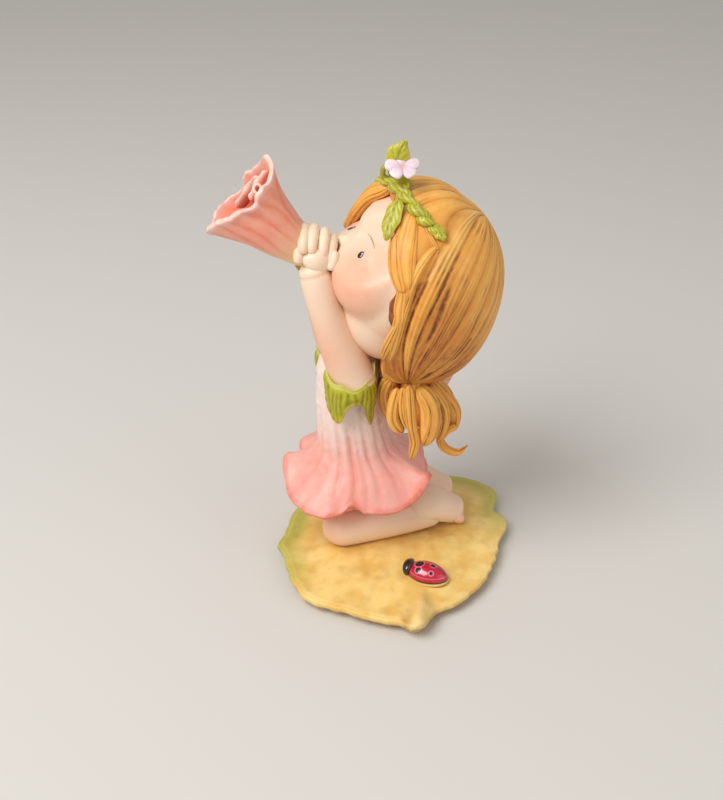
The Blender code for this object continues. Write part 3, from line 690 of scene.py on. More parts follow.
@dataclass
class Leaf:
    """The leaf that carries her: flat foot, undercut rim, mottled top and a pinched stem."""

    reach: float = 26.0
    crown: float = 4.6
    rim_height: float = 3.4
    rim_thickness: float = 1.7
    foot_inset: float = 5.0
    foot_to: float = 0.10
    top_from: float = 0.27
    stem: Rows = ((3.8, -15.0), (3.0, -20.0), (1.4, -25.0), (0.2, -29.4))
    outline: Rows = (
        (0, 0.93), (14, 1.09), (24, 1.08), (34, 1.28), (50, 1.26), (70, 1.17), (90, 1.14),
        (115, 1.06), (140, 1.06), (158, 1.00), (171, 1.02), (183, 0.97), (215, 0.99), (236, 0.91),
        (256, 0.93), (264, 0.95), (270, 1.07), (277, 0.99), (284, 0.87), (301, 0.86), (335, 0.86),
    )  # fmt: skip

    def form(self, u: np.ndarray, v: np.ndarray) -> Painted:
        """The leaf's skin, from the middle of its foot round the rim to the middle of its top."""
        angle = 360 * u
        edge = self.reach * around(self.outline, angle, 1)
        rough = patches(np.stack((np.cos(2 * math.pi * u), np.sin(2 * math.pi * u)), 1) * 24, 1.7, 3)
        edge = edge + 0.30 * rough
        low = self.rim_height - self.rim_thickness
        shares = (0.0, 0.06, self.foot_to, 0.14, 0.17, 0.20, 0.23, self.top_from, 1.0)
        insets = np.interp(
            v, shares, (99, self.foot_inset + 4, self.foot_inset, 1.4, 0.2, -0.1, 0.1, 1.0, 99)
        )
        heights = np.interp(
            v,
            shares,
            (0, 0, 0, low * 0.8, low + 0.15, low + 0.8, self.rim_height - 0.15, self.rim_height, 0),
        )
        top = v > self.top_from
        inward = np.clip((v - self.top_from) / (1 - self.top_from), 0, 1)
        rho = np.where(top, (edge - 1.0) * (1 - inward), np.maximum(edge - insets, 0))
        rho = np.where(v < 0.06, (edge - self.foot_inset - 4) * v / 0.06, rho)
        x = rho * np.cos(2 * math.pi * u)
        y = rho * np.sin(2 * math.pi * u)
        flat = np.stack((x, y), 1)
        depth = edge - rho
        rise = self.rim_height + (self.crown - self.rim_height) * ease(1.0, 13.0, depth)
        rise = rise + 0.28 * patches(flat, 6.0, 1) * ease(0.5, 4, depth) + 0.10 * patches(flat, 2.2, 2)
        rise = rise + 0.16 * hump(depth, 1.2, 0.8) * (0.5 + 0.5 * rough)
        round_place = np.stack((5.2 * np.cos(2 * math.pi * u), 5.2 * np.sin(2 * math.pi * u), depth / 9), 1)
        rays = patches(round_place, 1.0, 4)
        rise = rise + 0.14 * rays * ease(0.5, 4, depth) * ease(3, 11, rho)
        z = np.where(top, rise, heights)
        line = through(self.stem, np.linspace(0, 1, 40))
        away = np.linalg.norm(flat[:, None, :] - line[None], axis=2)
        near = away.min(1)
        along = away.argmin(1) / 39
        ridge = np.exp(-((near / (1.0 + 1.3 * along)) ** 2)) * ease(0.0, 0.45, along)
        groove = hump(near, 2.6, 0.9) * ease(0.1, 0.6, along)
        z = np.where(v > 0.14, z + 1.5 * ridge - 0.5 * groove * top, z)
        z = np.where(v <= self.foot_to, 0.0, np.maximum(z, 0.0))
        far = ease(-2.0, 12.0, y) * ease(8.0, 1.5, depth)
        left = ease(-15.0, -24.0, x) * ease(7.0, 1.0, depth) * ease(-15.0, -4.0, y)
        tint = np.clip(0.8 * far + 0.75 * left, 0, 1)
        # Painted shade on the rim's underside, painted shadow under her and painted shade in the groove
        # beside the stem, over ochre brush streaks on the top; paler along the rim and on the stem's ridge
        under = ease(0.25, 0.16, v)
        feet = np.exp(-((np.hypot(x + 1.0, (y - 3.4) * 2.2) / 18.0) ** 6)) * ease(-2.0, 3.0, y)
        brushed = np.clip(patches(np.stack((x / 2.2 + y / 9, y / 2.2 - x / 9), 1), 1.0, 12), 0, 1)
        wash = 0.45 * groove + 0.35 * under + 0.24 * feet + 0.22 * brushed * ease(0.0, 4.0, depth) * top
        dry = 0.45 * ease(1.8, 0.4, depth) * top + 0.6 * ridge
        return np.stack((x, y, z), 1), {"tint": tint, "wash": wash, "dry": dry}

    def build(self) -> None:
        """Rolls the leaf."""
        rolled("leaf", 300, 110, self.form, LEAF_OCHRE)


@dataclass
class Legs:
    """Shins flat on the leaf and feet with their soles up."""

    middle_y: float = 8.5
    knee_x: float = -12.4
    knee_z: float = 8.4
    knee_spacing: float = 12.2
    foot_spacing: float = 8.2
    shin_radius: float = 4.5
    shin_length: float = 19.0
    foot_length: float = 10.2
    foot_radius: float = 3.4
    turn_deg: float = 6.5
    toe_radius: float = 1.05

    def place(self, side: int, ahead: float, above: float, aside: float = 0.0) -> Place:
        """A place by a leg: back from the knee, above its middle and aside of it."""
        total = self.shin_length + self.foot_length
        spacing = self.knee_spacing + (self.foot_spacing - self.knee_spacing) * ahead / total
        turn = Matrix.Rotation(math.radians(self.turn_deg), 3, "Z")
        knee = Vector((self.knee_x, self.middle_y, self.knee_z + above))
        return tuple(knee + turn @ Vector((ahead, side / 2 * spacing + aside, 0)))

    def leg(self, side: int) -> None:
        """Builds one leg: its shin, foot and toes.

        Args:
            side: -1 for her left leg and 1 for her right.
        """
        name = side_name(side)
        radius = self.shin_radius
        shin = ((-4.6, 0.86), (0.0, 0.98), (5.0, 1.0), (10.0, 1.0), (15.0, 0.96), (19.5, 0.88), (24.0, 0.74))
        knots = tuple((*self.place(side, x, 0.0), radius * s, radius * s) for x, s in shin)
        shin_limb = Limb(knots, (0.0, 0.0, 1.0), (0.16, 0.12))

        def shin_form(u: np.ndarray, v: np.ndarray) -> Painted:
            """The shin's skin, with a blush on the knee and a shadow by the leaf."""
            places = shin_limb.form(u, v, 0.08 * np.sin(5 * v + 2))
            ground = ease(6.4, 4.8, places[:, 2])
            blush = hump(v, 0.05, 0.10)
            return places, {"wash": 0.45 * ground, "tint": 0.35 * blush + 0.25 * ground}

        rolled(f"shin_{name}", 64, 60, shin_form, SKIN)
        reach = self.shin_length
        foot = (
            (reach - 5.0, 0.6, 0.90),
            (reach - 1.6, 1.7, 1.14),
            (reach + 1.6, 2.0, 1.24),
            (reach + 5.0, 0.8, 1.22),
            (reach + 7.8, -0.9, 1.04),
            (reach + 9.0, -1.7, 0.84),
        )
        radius = self.foot_radius
        knots = tuple((*self.place(side, x, z), radius * s * 1.02, radius * s * 0.92) for x, z, s in foot)
        foot_limb = Limb(knots, (0.6, 0.0, 0.8), (0.2, 0.2))

        def foot_form(u: np.ndarray, v: np.ndarray) -> Painted:
            """The foot's skin, hollowed under its arch."""
            sole = hump(v, 0.62, 0.12) * np.clip(np.sin(2 * math.pi * u), 0, 1)
            heel = hump(v, 0.34, 0.14)
            places = foot_limb.form(u, v, -0.45 * sole)
            # Blush towards the toes, a painted highlight on the heel and painted shade under the arch
            return places, {"tint": 0.35 * ease(0.75, 1.0, v), "dry": 0.8 * heel, "wash": 0.25 * sole}

        rolled(f"foot_{name}", 56, 48, foot_form, SKIN)
        for toe in range(5):
            spread = (toe - 2) / 2
            size = self.toe_radius * (1.16 - 0.09 * toe if side < 0 else 0.80 + 0.09 * toe)
            x = reach + self.foot_length - 0.9 - 0.8 * abs(spread)
            aside = spread * (self.foot_radius - 0.6)
            ends = (
                (*self.place(side, x - 2.4, -0.8, aside * 0.9), size * 0.9, size * 0.9),
                (*self.place(side, x - 0.4, -1.6, aside), size, size),
                (*self.place(side, x + 1.1, -2.4, aside), size * 0.95, size * 0.95),
            )
            rolled(f"toe_{name}_{toe}", 20, 14, plain(Limb(ends, (0, 0, 1), (0.3, 0.42)), tint=0.4), SKIN)

    def build(self) -> None:
        """Builds both legs."""
        for side in (-1, 1):
            self.leg(side)


@dataclass
class Dress:
    """Her dress: a flower turned over, pleated, with a curled and ragged hem."""

    x: float = -7.6
    y: float = 8.5
    hem_z: float = 17.2
    hem_reach: float = 15.6
    hem_thickness: float = 1.4
    length: float = 35.6
    waist: float = 7.6
    hem_to: float = 0.24
    curl_deg: float = 323.0
    outline: Rows = (
        (0, 1.00, 3.6), (29, 1.06, 4.6), (65, 0.92, 1.4), (101, 1.04, 3.4), (134, 1.08, 3.0),
        (152, 0.92, 2.6), (173, 1.07, 5.0), (194, 1.08, 1.0), (216, 1.12, 0.2), (236, 1.10, 0.0),
        (250, 0.97, 0.6), (260, 0.87, 1.9), (270, 0.93, 0.5), (293, 1.00, 0.0), (310, 1.06, 1.2),
        (323, 1.20, 6.0), (336, 1.04, 4.0),
    )  # fmt: skip
    profile: Rows = (
        (-0.2, 1.70), (-0.5, 1.42), (0.0, 1.22), (0.6, 1.11), (1.0, 1.04), (1.4, 1.00), (1.7, 0.97),
        (1.8, 0.95), (1.8, 0.92), (1.8, 0.90), (1.5, 0.78), (1.0, 0.52),
    )  # fmt: skip
    folds: Rows = (
        (20, 0.30), (48, 0.45), (74, 0.30), (104, 0.50), (130, 0.30), (158, 0.50), (181, 0.35),
        (204, 0.55), (222, 0.30), (241, 0.60), (259, 0.85), (271, 0.30), (284, 0.50), (304, 0.30),
        (322, 0.40), (343, 0.35),
    )  # fmt: skip

    def form(self, u: np.ndarray, v: np.ndarray) -> Painted:
        """The dress's skin, from under its hem round the edge and up to the neck."""
        angle = 360 * u
        turn = 2 * math.pi * u
        ring = np.stack((np.cos(turn), np.sin(turn)), 1)
        ragged = patches(ring * 15, 1.6, 5)
        reach = self.hem_reach * around(self.outline, angle, 1) + 0.30 * ragged
        rise = around(self.outline, angle, 2) + 0.22 * patches(ring * 15, 2.2, 6)
        height = np.clip((v - self.hem_to) / (1 - self.hem_to), 0, 1)
        shape = through(self.profile, height)
        fold = np.zeros(len(u))
        for at, depth in self.folds:
            fold += depth * hump(off_by(angle, at), 0.0, 3.2 + 4.0 * height)
        fold *= ease(0.78, 0.25, height)
        uneven = patches(np.stack((angle / 8, height * 30), 1), 1.0, 8)
        body = self.waist * shape[:, 1] - 0.95 * fold + 0.12 * uneven
        flare = 0.42 * ease(0.26, 0.0, height)
        body = body + flare * (reach - body)
        lift = self.length * (0.07 + 0.93 * height) + flare * rise
        under = v < self.hem_to
        shares = np.array((0.0, 0.08, 0.13, 0.17, 0.20, self.hem_to))
        inside = rise * 0 - 2.6
        outs = np.stack((reach * 0.0, reach * 0.62, reach - 2.2, reach - 0.25, reach + 0.05, reach - 0.8), 1)
        ups = np.stack((inside, inside, rise * 0.75, rise, rise + 0.6, rise + self.hem_thickness), 1)
        place = np.searchsorted(shares, np.clip(v, 0, self.hem_to - 0.0001), side="right") - 1
        after = np.minimum(place + 1, 5)
        starts = shares[place]
        t = (v - starts) / (shares[after] - starts)
        rows = np.arange(len(u))
        edge_out = outs[rows, place] * (1 - t) + outs[rows, after] * t
        edge_up = ups[rows, place] * (1 - t) + ups[rows, after] * t
        blend = ease(self.hem_to, 0.34, v)
        top_out = outs[:, 5] * (1 - blend) + body * blend
        top_up = ups[:, 5] * (1 - blend) + lift * blend
        radius = np.where(under, edge_out, top_out)
        up = np.where(under, edge_up, top_up)
        ahead = np.where(under, 0.0, shape[:, 0] * blend)
        neck = ease(0.94, 1.0, v)
        radius = radius * (1 - neck)
        x = self.x - ahead + radius * ring[:, 0]
        y = self.y + radius * ring[:, 1]
        z = self.hem_z + up
        edge = hump(v, 0.20, 0.035)
        low = ease(0.50, 0.16, height) * (0.85 + 0.15 * patches(np.stack((angle / 9, height * 9), 1), 1.0, 9))
        curled = np.exp(-(off_by(angle, self.curl_deg) ** 2) / 200) * ease(0.12, 0.02, height)
        creased = np.clip(fold, 0, 1) * ease(0.6, 0.1, height)
        # Darker along the hem's edge, with painted shade in the folds, inside the curl and on the hem's
        # underside
        wash = 0.75 * edge * (0.6 + 0.4 * ragged) + 0.35 * creased + 0.5 * curled
        wash = wash + 0.3 * ease(0.17, 0.12, v)
        pale = 0.7 * (1 - np.clip(fold * 2, 0, 1)) * ease(0.2, 0.6, height)
        return np.stack((x, y, z), 1), {"tint": low + 0.4 * edge, "wash": wash, "dry": pale}

    def build(self) -> None:
        """Rolls the dress."""
        rolled("dress", 320, 150, self.form, DRESS)


@dataclass
class Arms:
    """Arms that reach up out of leaf collars, and the hands round the pipe."""

    top: Place = (-8.8, 8.5, 52.8)
    grip: Place = (-16.0, 8.0, 74.3)
    spacing: float = 11.4
    drop: float = 5.0
    collar_radius: float = 5.5
    rim_dip: float = 2.7
    skirt: Rows = (
        (0, 6.4), (30, 7.6), (60, 8.6), (77, 4.6), (94, 3.0), (112, 4.2), (137, 10.4), (158, 7.4),
        (180, 6.0), (225, 4.6), (270, 4.2), (315, 5.0),
    )  # fmt: skip
    hand_radius: float = 3.2
    fingers: Rows = ((-3.6, 1.4), (-2.7, 3.4), (-0.9, 3.3), (1.2, 2.4), (2.7, 0.8))

    def shoulder(self, side: int) -> np.ndarray:
        """The middle of one shoulder. Her right one hangs a little lower and further forward."""
        lean = np.array((-1.0, 0.0, -1.2)) if side > 0 else np.zeros(3)
        return np.array(self.top) + np.array((-0.4, side * self.spacing / 2, -self.drop)) + lean

    def wrist(self, side: int) -> np.ndarray:
        """Where one arm ends, below the hand that grips the pipe."""
        return np.array(self.grip) + np.array((-1.2, side * self.hand_radius * 0.95, -1.2))

    def arm(self, side: int) -> None:
        """Builds one arm up to the wrist.

        Args:
            side: -1 for her left arm and 1 for her right.
        """
        start = self.shoulder(side)
        hand = self.wrist(side)
        elbow = start + (hand - start) * 0.48 + np.array((-0.6, side * 0.9, 0.0))
        girths = ((0.0, 4.55), (0.18, 4.3), (0.34, 3.75), (0.55, 3.35), (0.78, 3.3), (0.9, 3.1), (1.0, 2.6))
        curve = through((tuple(start), tuple(elbow), tuple(hand)), np.array([share for share, _ in girths]))
        knots = [(*p, r, r) for p, (_, r) in zip(curve, girths)]
        knots.insert(0, (*(start - 4.4 * unit(elbow - start)), 4.6, 4.6))
        limb = Limb(tuple(knots), (-1.0, 0.0, 0.3), (0.1, 0.1))

        def form(u: np.ndarray, v: np.ndarray) -> Painted:
            """The arm's skin, with a blush on the elbow and a crease at the wrist."""
            elbow_blush = hump(v, 0.42, 0.16) * (0.5 + 0.5 * np.sin(2 * math.pi * u))
            crease = hump(v, 0.80, 0.02)
            places = limb.form(u, v, 0.25 * elbow_blush - 0.12 * crease)
            # A painted highlight towards the hand, and painted shade in the wrist crease
            dry = 0.5 * ease(0.6, 1.0, v)
            return places, {"tint": 0.55 * elbow_blush, "wash": 0.25 * crease, "dry": dry}

        rolled(f"arm_{side_name(side)}", 72, 90, form, SKIN)

    def collar(self, side: int) -> None:
        """Builds the leaf collar of one arm: a cup with a pale rolled lip and pointed tips below.

        Args:
            side: -1 for her left arm and 1 for her right.
        """
        start = self.shoulder(side)
        up = unit(self.wrist(side) - start)
        rim = start + up * 1.7
        across = np.array((0.0, float(side), 0.0))
        ahead = np.array((-1.0, 0.0, 0.0))

        def skirt(u: np.ndarray, v: np.ndarray) -> Painted:
            """The collar's skin, down its outside, back up its inside and over the lip."""
            turn = 2 * math.pi * u
            drop = around(self.skirt, 360 * u, 1)
            outside = np.clip(v / 0.46, 0, 1)
            inside = np.clip((v - 0.54) / 0.36, 0, 1)
            lip = np.clip((v - 0.90) / 0.10, 0, 1)
            down = np.where(v < 0.5, outside, 1 - inside)
            veins = combed(u * 26 + 0.5 * patches(np.stack((u * 26, down * 2), 1), 1.0, 2), 0.7)
            outer = v < 0.5
            bulge = 0.55 * np.sin(math.pi * np.clip(down * 1.15, 0, 1)) + 0.35 * ease(0.75, 1.0, down)
            thick = 0.95 - 0.55 * down
            carve = 0.30 * (1 - veins) * ease(0.06, 0.2, down) * outer
            radius = self.collar_radius * 0.93 + bulge - np.where(outer, carve, thick)
            radius = radius + np.where(lip > 0, 0.5 * np.sin(math.pi * lip) + 0.95 * lip, 0)
            height = -down * drop + 0.55 * np.sin(math.pi * lip)
            scoop = -self.rim_dip * np.clip(np.sin(turn), 0, 1) + 0.35 * np.sin(6 * turn + 1.0)
            height = height + scoop
            out = ahead * np.cos(turn)[:, None] + across * np.sin(turn)[:, None]
            places = rim + np.array((0.0, 0.0, 1.0)) * height[:, None] + out * radius[:, None]
            edge = hump(down, 0.0, 0.07) + lip
            tip = ease(0.86, 1.0, down)
            # Dark olive in the vein grooves, and painted shade over the inside of the cup
            grooved = 0.9 * (1 - veins) * ease(0.08, 0.25, down) * (1 - 0.4 * down)
            wash = grooved * outer + 0.35 * (1 - outer) * (1 - lip)
            return places, {"wash": wash, "dry": edge, "tint": 0.55 * tip}

        rolled(f"collar_{side_name(side)}", 180, 70, skirt, SPRING_GREEN)

    def hands(self) -> None:
        """Builds the palms, the fingers laid over the pipe and one thumb, all with a painted highlight."""
        centre = np.array(self.grip)
        for side in (-1, 1):
            a = centre + np.array((-1.4, side * self.hand_radius * 0.98, -2.6))
            b = centre + np.array((-0.4, side * self.hand_radius * 1.05, -0.6))
            c = centre + np.array((-0.7, side * self.hand_radius * 0.85, 2.0))
            knots = ((*a, 3.1, 2.7), (*b, 3.5, 2.8), (*c, 3.1, 2.2))
            palm = Limb(knots, (0.0, float(side), 0.2), (0.4, 0.4))
            rolled(f"palm_{side_name(side)}", 48, 36, plain(palm, dry=0.6), SKIN)
        rows = ((-4.6, -2.4, 0.9), (-4.3, -1.0, 1.1), (-2.6, 0.5, 1.15), (-0.4, 1.1, 1.15), (2.4, 0.2, 1.0))
        for finger, (x, rise) in enumerate(self.fingers):
            base = centre + np.array((x, 0.0, rise))
            knots = tuple((*(base + np.array((0.20 * (y + 4), y, z))), s, s * 0.96) for y, z, s in rows)
            limb = Limb(knots, (1.0, 0.0, 0.1), (0.12, 0.22))

            def form(u: np.ndarray, v: np.ndarray, limb: Limb = limb) -> Painted:
                """The finger's skin, a little thicker at its joint."""
                joint = hump(v, 0.52, 0.05)
                return limb.form(u, v, 0.10 * joint), {"dry": 0.9 * ease(0.2, 0.6, v)}

            rolled(f"finger_{finger}", 28, 40, form, SKIN)
        thumb = (
            (*(centre + np.array((2.2, -4.8, -2.6))), 1.1, 1.1),
            (*(centre + np.array((3.2, -4.6, -0.6))), 1.15, 1.1),
            (*(centre + np.array((3.4, -3.6, 1.2))), 0.9, 0.9),
        )
        rolled("thumb", 28, 24, plain(Limb(thumb, (1, 0, 0), (0.2, 0.3)), dry=0.5), SKIN)

    def build(self) -> None:
        """Builds arms, collars and hands."""
        for side in (-1, 1):
            self.arm(side)
            self.collar(side)
        self.hands()


@dataclass
class Head:
    """Her head: round cheeks, a small nose, painted eyes and brows."""

    middle: Place = (4.6, 8.5, 68.0)
    radius: float = 16.8
    cheek: float = 2.4
    eye_depth: float = 2.4
    jaw: float = 3.2
    nose: float = 1.7
    nose_deg: float = 27.0
    socket_at: tuple[float, float] = (42.0, 0.605)
    bridge: float = 1.3
    neck_radius: float = 4.6
    neck: Rows = ((-8.8, 8.5, 49.8), (-4.6, 8.5, 56.6), (-1.2, 8.5, 62.0))
    eye_left: tuple[float, float] = (32.2, -0.469)
    eye_right: tuple[float, float] = (34.3, 0.20)
    brow: Rows = ((44.5, 0.229), (44.9, 0.283), (44.5, 0.358), (43.9, 0.447), (42.6, 0.516))

    def reach(self, out: np.ndarray) -> np.ndarray:
        """How far her skin lies from the head's middle, along unit directions."""
        reach = np.full(len(out), self.radius)
        socket_deg, aside = self.socket_at
        for side in (-1, 1):
            reach += self.cheek * ease(0.84, 1.0, out @ forward(14, side * 0.617))
            reach -= self.eye_depth * ease(0.88, 1.0, out @ forward(socket_deg, side * aside))
        reach += self.jaw * ease(0.70, 1.0, out @ forward(-52))
        rise = np.degrees(np.arctan2(out[:, 2], -out[:, 0]))
        reach -= self.bridge * np.exp(-(((rise - 38) / 9) ** 2) - (out[:, 1] / 0.20) ** 2)
        tip = np.arccos(np.clip(out @ forward(self.nose_deg), -1, 1))
        return reach + self.nose * hump(tip, 0.0, 0.078)

    def on_face(self, out: np.ndarray, lift: float = 0.0) -> np.ndarray:
        """Places on the skin along directions from the head's middle."""
        out = unit(out)
        return np.array(self.middle) + out * (self.reach(out) + lift)[:, None]

    def build_skin(self) -> None:
        """Models the head from a sphere, in one piece with the face."""
        deselect()
        bpy.ops.mesh.primitive_uv_sphere_add(segments=200, ring_count=130, radius=1.0)
        piece = bpy.context.object
        flat = np.empty(len(piece.data.vertices) * 3)
        piece.data.vertices.foreach_get("co", flat)
        out = unit(flat.reshape(-1, 3))
        places = np.array(self.middle) + out * self.reach(out)[:, None]
        piece.data.vertices.foreach_set("co", (places * MM).ravel())
        blush = np.zeros(len(out))
        for side in (-1, 1):
            blush += 0.55 * ease(0.86, 1.0, out @ toward(9, side * 0.58))
        nose = ease(0.985, 1.0, out @ forward(self.nose_deg))
        socket_deg, aside = self.socket_at
        socket = ease(0.90, 1.0, out @ forward(socket_deg, -aside))
        socket = socket + ease(0.90, 1.0, out @ forward(socket_deg, aside))
        jaw = ease(0.80, 1.0, out @ forward(-66))
        # Blush on the cheeks and a little in the eye sockets, painted shade under the jaw, and a painted
        # highlight on the nose
        paints = {"tint": blush + 0.30 * jaw + 0.12 * socket, "dry": 0.8 * nose, "wash": 0.25 * jaw}
        give_paints(piece.data, paints)
        bpy.ops.object.shade_smooth()
        dress_piece(piece, "head", SKIN)

    def build_dot(
        self, name: str, at: np.ndarray, size: tuple[float, float], lift: float, finish: BrushedPaint
    ) -> None:
        """Lays a painted dot on the skin.

        Args:
            name: the piece's name.
            at: the dot's direction from the head's middle.
            size: half its width and half its height in millimetres.
            lift: how far its middle stands above the skin.
            finish: its paint.
        """
        out = unit(at)
        side = unit(np.cross((0.0, 0.0, 1.0), out))
        above = np.cross(out, side)
        length = float(np.linalg.norm(at))

        def form(u: np.ndarray, v: np.ndarray) -> Painted:
            """The dot's skin, bent to the face."""
            turn = 2 * math.pi * u
            round_off = np.sin(math.pi * np.clip(v, 0, 1))
            dx = side * (size[0] / length * round_off * np.cos(turn))[:, None]
            dy = above * (size[1] / length * round_off * np.sin(turn))[:, None]
            directions = unit(out + dx + dy)
            height = np.where(v < 0.5, -0.25, lift * np.sqrt(np.clip(1 - round_off**2, 0, 1)) + 0.02)
            return np.array(self.middle) + directions * (self.reach(directions) + height)[:, None], {}

        rolled(name, 28, 16, form, finish)

    def build_brow(self, name: str, bends: tuple[np.ndarray, ...]) -> None:
        """Paints a thin brow along directions on the forehead."""
        places = [self.on_face(bend[None], 0.0)[0] for bend in bends]
        widths = (0.05, 0.11, 0.15, 0.14, 0.06)
        knots = tuple((*p, w, 0.09) for p, w in zip(places, widths))
        rolled(name, 12, 40, plain(Limb(knots, tuple(unit(bends[2])), (0.05, 0.05))), BROW_BROWN)

    def build(self) -> None:
        """Builds the head, its neck and what is painted on the face."""
        self.build_skin()
        knots = tuple((*p, self.neck_radius, self.neck_radius) for p in self.neck)
        limb = Limb(knots, (0, -1, 0), (0.1, 0.1))
        # The neck lies under the head, and its tint and wash are painted shade
        rolled("neck", 48, 20, plain(limb, tint=0.45, wash=0.2), SKIN)
        self.build_dot("eye_left", toward(*self.eye_left) * self.radius, (0.64, 0.76), 0.20, BLACK_ENAMEL)
        self.build_dot("eye_right", toward(*self.eye_right) * self.radius, (0.50, 0.84), 0.24, BLACK_ENAMEL)
        for name, (rise, across), size in (("left", self.eye_left, 0.20), ("right", self.eye_right, 0.15)):
            light = toward(rise + 1.5, across - 0.012) * self.radius
            self.build_dot(f"eye_light_{name}", light, (size, size), 0.28, WHITE_ENAMEL)
        for name, side in (("brow_left", -1), ("brow_right", 1)):
            self.build_brow(name, tuple(toward(rise, side * across) for rise, across in self.brow))


@dataclass
class Hair:
    """Her hair: combed from the crown to a tie at the nape, with loose locks by the face."""

    head: Head
    thickness: float = 1.1
    top_bulge: float = 1.5
    tail_drop: float = 6.0
    locks: int = 27
    hairline: float = 7.6
    hairline_deg: float = 5.0
    groove: float = 0.95
    to_tie: Place = (0.02, -0.22, -0.975)
    comb_from: Place = (0.79, 0.06, 0.61)
    comb_to: Place = (-0.12, -0.42, -0.90)
    side_locks: tuple[tuple[str, float, float, float, Rows], ...] = (
        ("front", 1.7, 1.1, 0.5, (
            (66, -0.60), (61, -0.70), (55, -0.79), (48, -0.86), (40, -0.915), (32, -0.94),
        )),
        ("side", 2.3, 1.0, 0.35, (
            (81, -0.459), (75.5, -0.59), (68.7, -0.719), (61.1, -0.821), (53.1, -0.899), (41.8, -0.949),
        )),
        ("pale", 0.85, 0.6, 0.2, (
            (97.4, -0.764), (87.8, -0.829), (73.8, -0.893), (53.4, -0.94), (21.6, -0.961),
        )),
        ("vine", 0.65, 0.6, 0.9, ((86.3, -0.518), (89.6, -0.627), (93.7, -0.729), (99.5, -0.797))),
        ("ear", 1.3, 0.7, 0.6, (
            (44, -0.90), (30, -0.935), (14, -0.945), (-4, -0.945), (-20, -0.94), (-36, -0.895),
        )),
        ("jaw", 1.1, 0.8, 1.0, ((-26.5, -0.926), (-40.9, -0.863), (-49.4, -0.768), (-55.4, -0.658))),
        ("long", 1.2, 0.6, 0.8, (
            (77.7, -0.855), (45.9, -0.946), (-18.6, -0.941), (-49.3, -0.841), (-60.6, -0.669),
        )),
    )  # fmt: skip

    def reach(self, out: np.ndarray) -> np.ndarray:
        """How far the hair's surface lies from the head's middle, along unit directions."""
        reach = self.head.radius + self.thickness
        reach = reach + self.tail_drop * ((1 + out @ unit(np.array(self.to_tie))) / 2) ** 6
        return reach + self.top_bulge * ease(0.75, 1.0, out @ unit(np.array((-0.08, 0.0, 1.0))))

    def on_hair(self, rise_deg: float, across: float, lift: float = 0.0) -> np.ndarray:
        """A place on the hair: an angle above level, seen from her left, and a share to her right."""
        out = toward(rise_deg, across)
        return np.array(self.head.middle) + out * (self.reach(out[None])[0] + lift)

    @property
    def tie(self) -> np.ndarray:
        """Where the hair is tied."""
        down = unit(np.array(self.to_tie))
        return np.array(self.head.middle) + down * (self.head.radius + self.tail_drop * 0.95)

    def comb(self, u: np.ndarray, v: np.ndarray) -> tuple[np.ndarray, np.ndarray]:
        """Directions along arcs that all start at the crown and all end at the tie.

        Args:
            u: which arc, as a share of a full turn about the line from crown to tie.
            v: how far along the arc.

        Returns:
            Unit directions, and each arc's turn in radians, 0 at the back of the head.
        """
        crown = unit(np.array(self.comb_from))
        tie = unit(np.array(self.comb_to))
        along = unit(tie - crown)
        middle = (crown + tie) / 2
        out = unit(middle)
        far = float(np.linalg.norm(middle))
        half = float(np.linalg.norm(tie - crown)) / 2
        turn = 2 * math.pi * u - math.pi
        arm = out * np.cos(turn)[:, None] + np.cross(along, out) * np.sin(turn)[:, None]
        radius = np.sqrt(1 - (far * np.sin(turn)) ** 2)
        theta = np.arctan2(half, far * np.cos(turn)) * (2 * v - 1)
        centre = middle - arm * (far * np.cos(turn))[:, None]
        ring = along * np.sin(theta)[:, None] + arm * np.cos(theta)[:, None]
        return unit(centre + ring * radius[:, None]), turn

    def form(self, u: np.ndarray, v: np.ndarray) -> Painted:
        """The combed mass, sunk into the head in front of the hairline."""
        out, turn = self.comb(u, v)
        drift = np.stack((np.cos(turn) * 2.2, np.sin(turn) * 2.2, v * 1.1), 1)
        phase = self.locks * turn / (2 * math.pi)
        phase = phase + 1.7 * patches(drift, 0.9, 1) + 0.35 * patches(drift, 0.35, 2)
        lock = np.floor(phase)
        chance = np.mod(np.abs(np.sin(lock * 91.7) * 4375.3), 1)
        # The hair is carved deeper low down and on the side by her face, and painted in shade there
        face_side = ease(0.05, 0.85, out @ toward(-32, -0.72))
        low = np.clip(0.55 * ease(0.45, 0.95, v) + face_side, 0, 1)
        start = ease(0.16, 0.03, v)
        main = combed(phase, 0.5)
        fine = combed(phase * 3 + 0.9 * patches(drift, 0.5, 3), 0.7)
        hairs = combed(phase * 8 + 0.8 * patches(drift, 0.3, 4), 0.8)
        nicks = ease(0.22, 0.50, patches(np.stack((phase * 2.3, v * 8), 1), 1.0, 5))
        nicks = nicks * ease(0.0, 0.3, 1 - fine)
        deep = (0.30 + 0.70 * low + 0.45 * start) * (0.25 + 0.75 * chance)
        ends = ease(0.0, 0.05, v) * ease(1.0, 0.95, v)
        carve = self.groove * deep * (1 - main) + 0.16 * (0.25 + 0.9 * low) * (1 - fine)
        carve = carve + 0.04 * (1 - hairs) + 0.12 * nicks
        swell = 0.45 * (chance - 0.4) * main * (0.3 + 0.7 * low)
        reach = self.reach(out) + (swell - carve) * ends
        middle = np.array(self.head.middle)
        places = middle + out * reach[:, None]
        front = (places - (middle - np.array((self.hairline, 0, 0)))) @ forward(self.hairline_deg)
        ragged = 0.9 * patches(places, 3.0, 7) + 0.5 * (chance - 0.5)
        sink = ease(-1.3, 0.9, front + ragged)
        places = places - out * (5.6 * sink**2)[:, None]
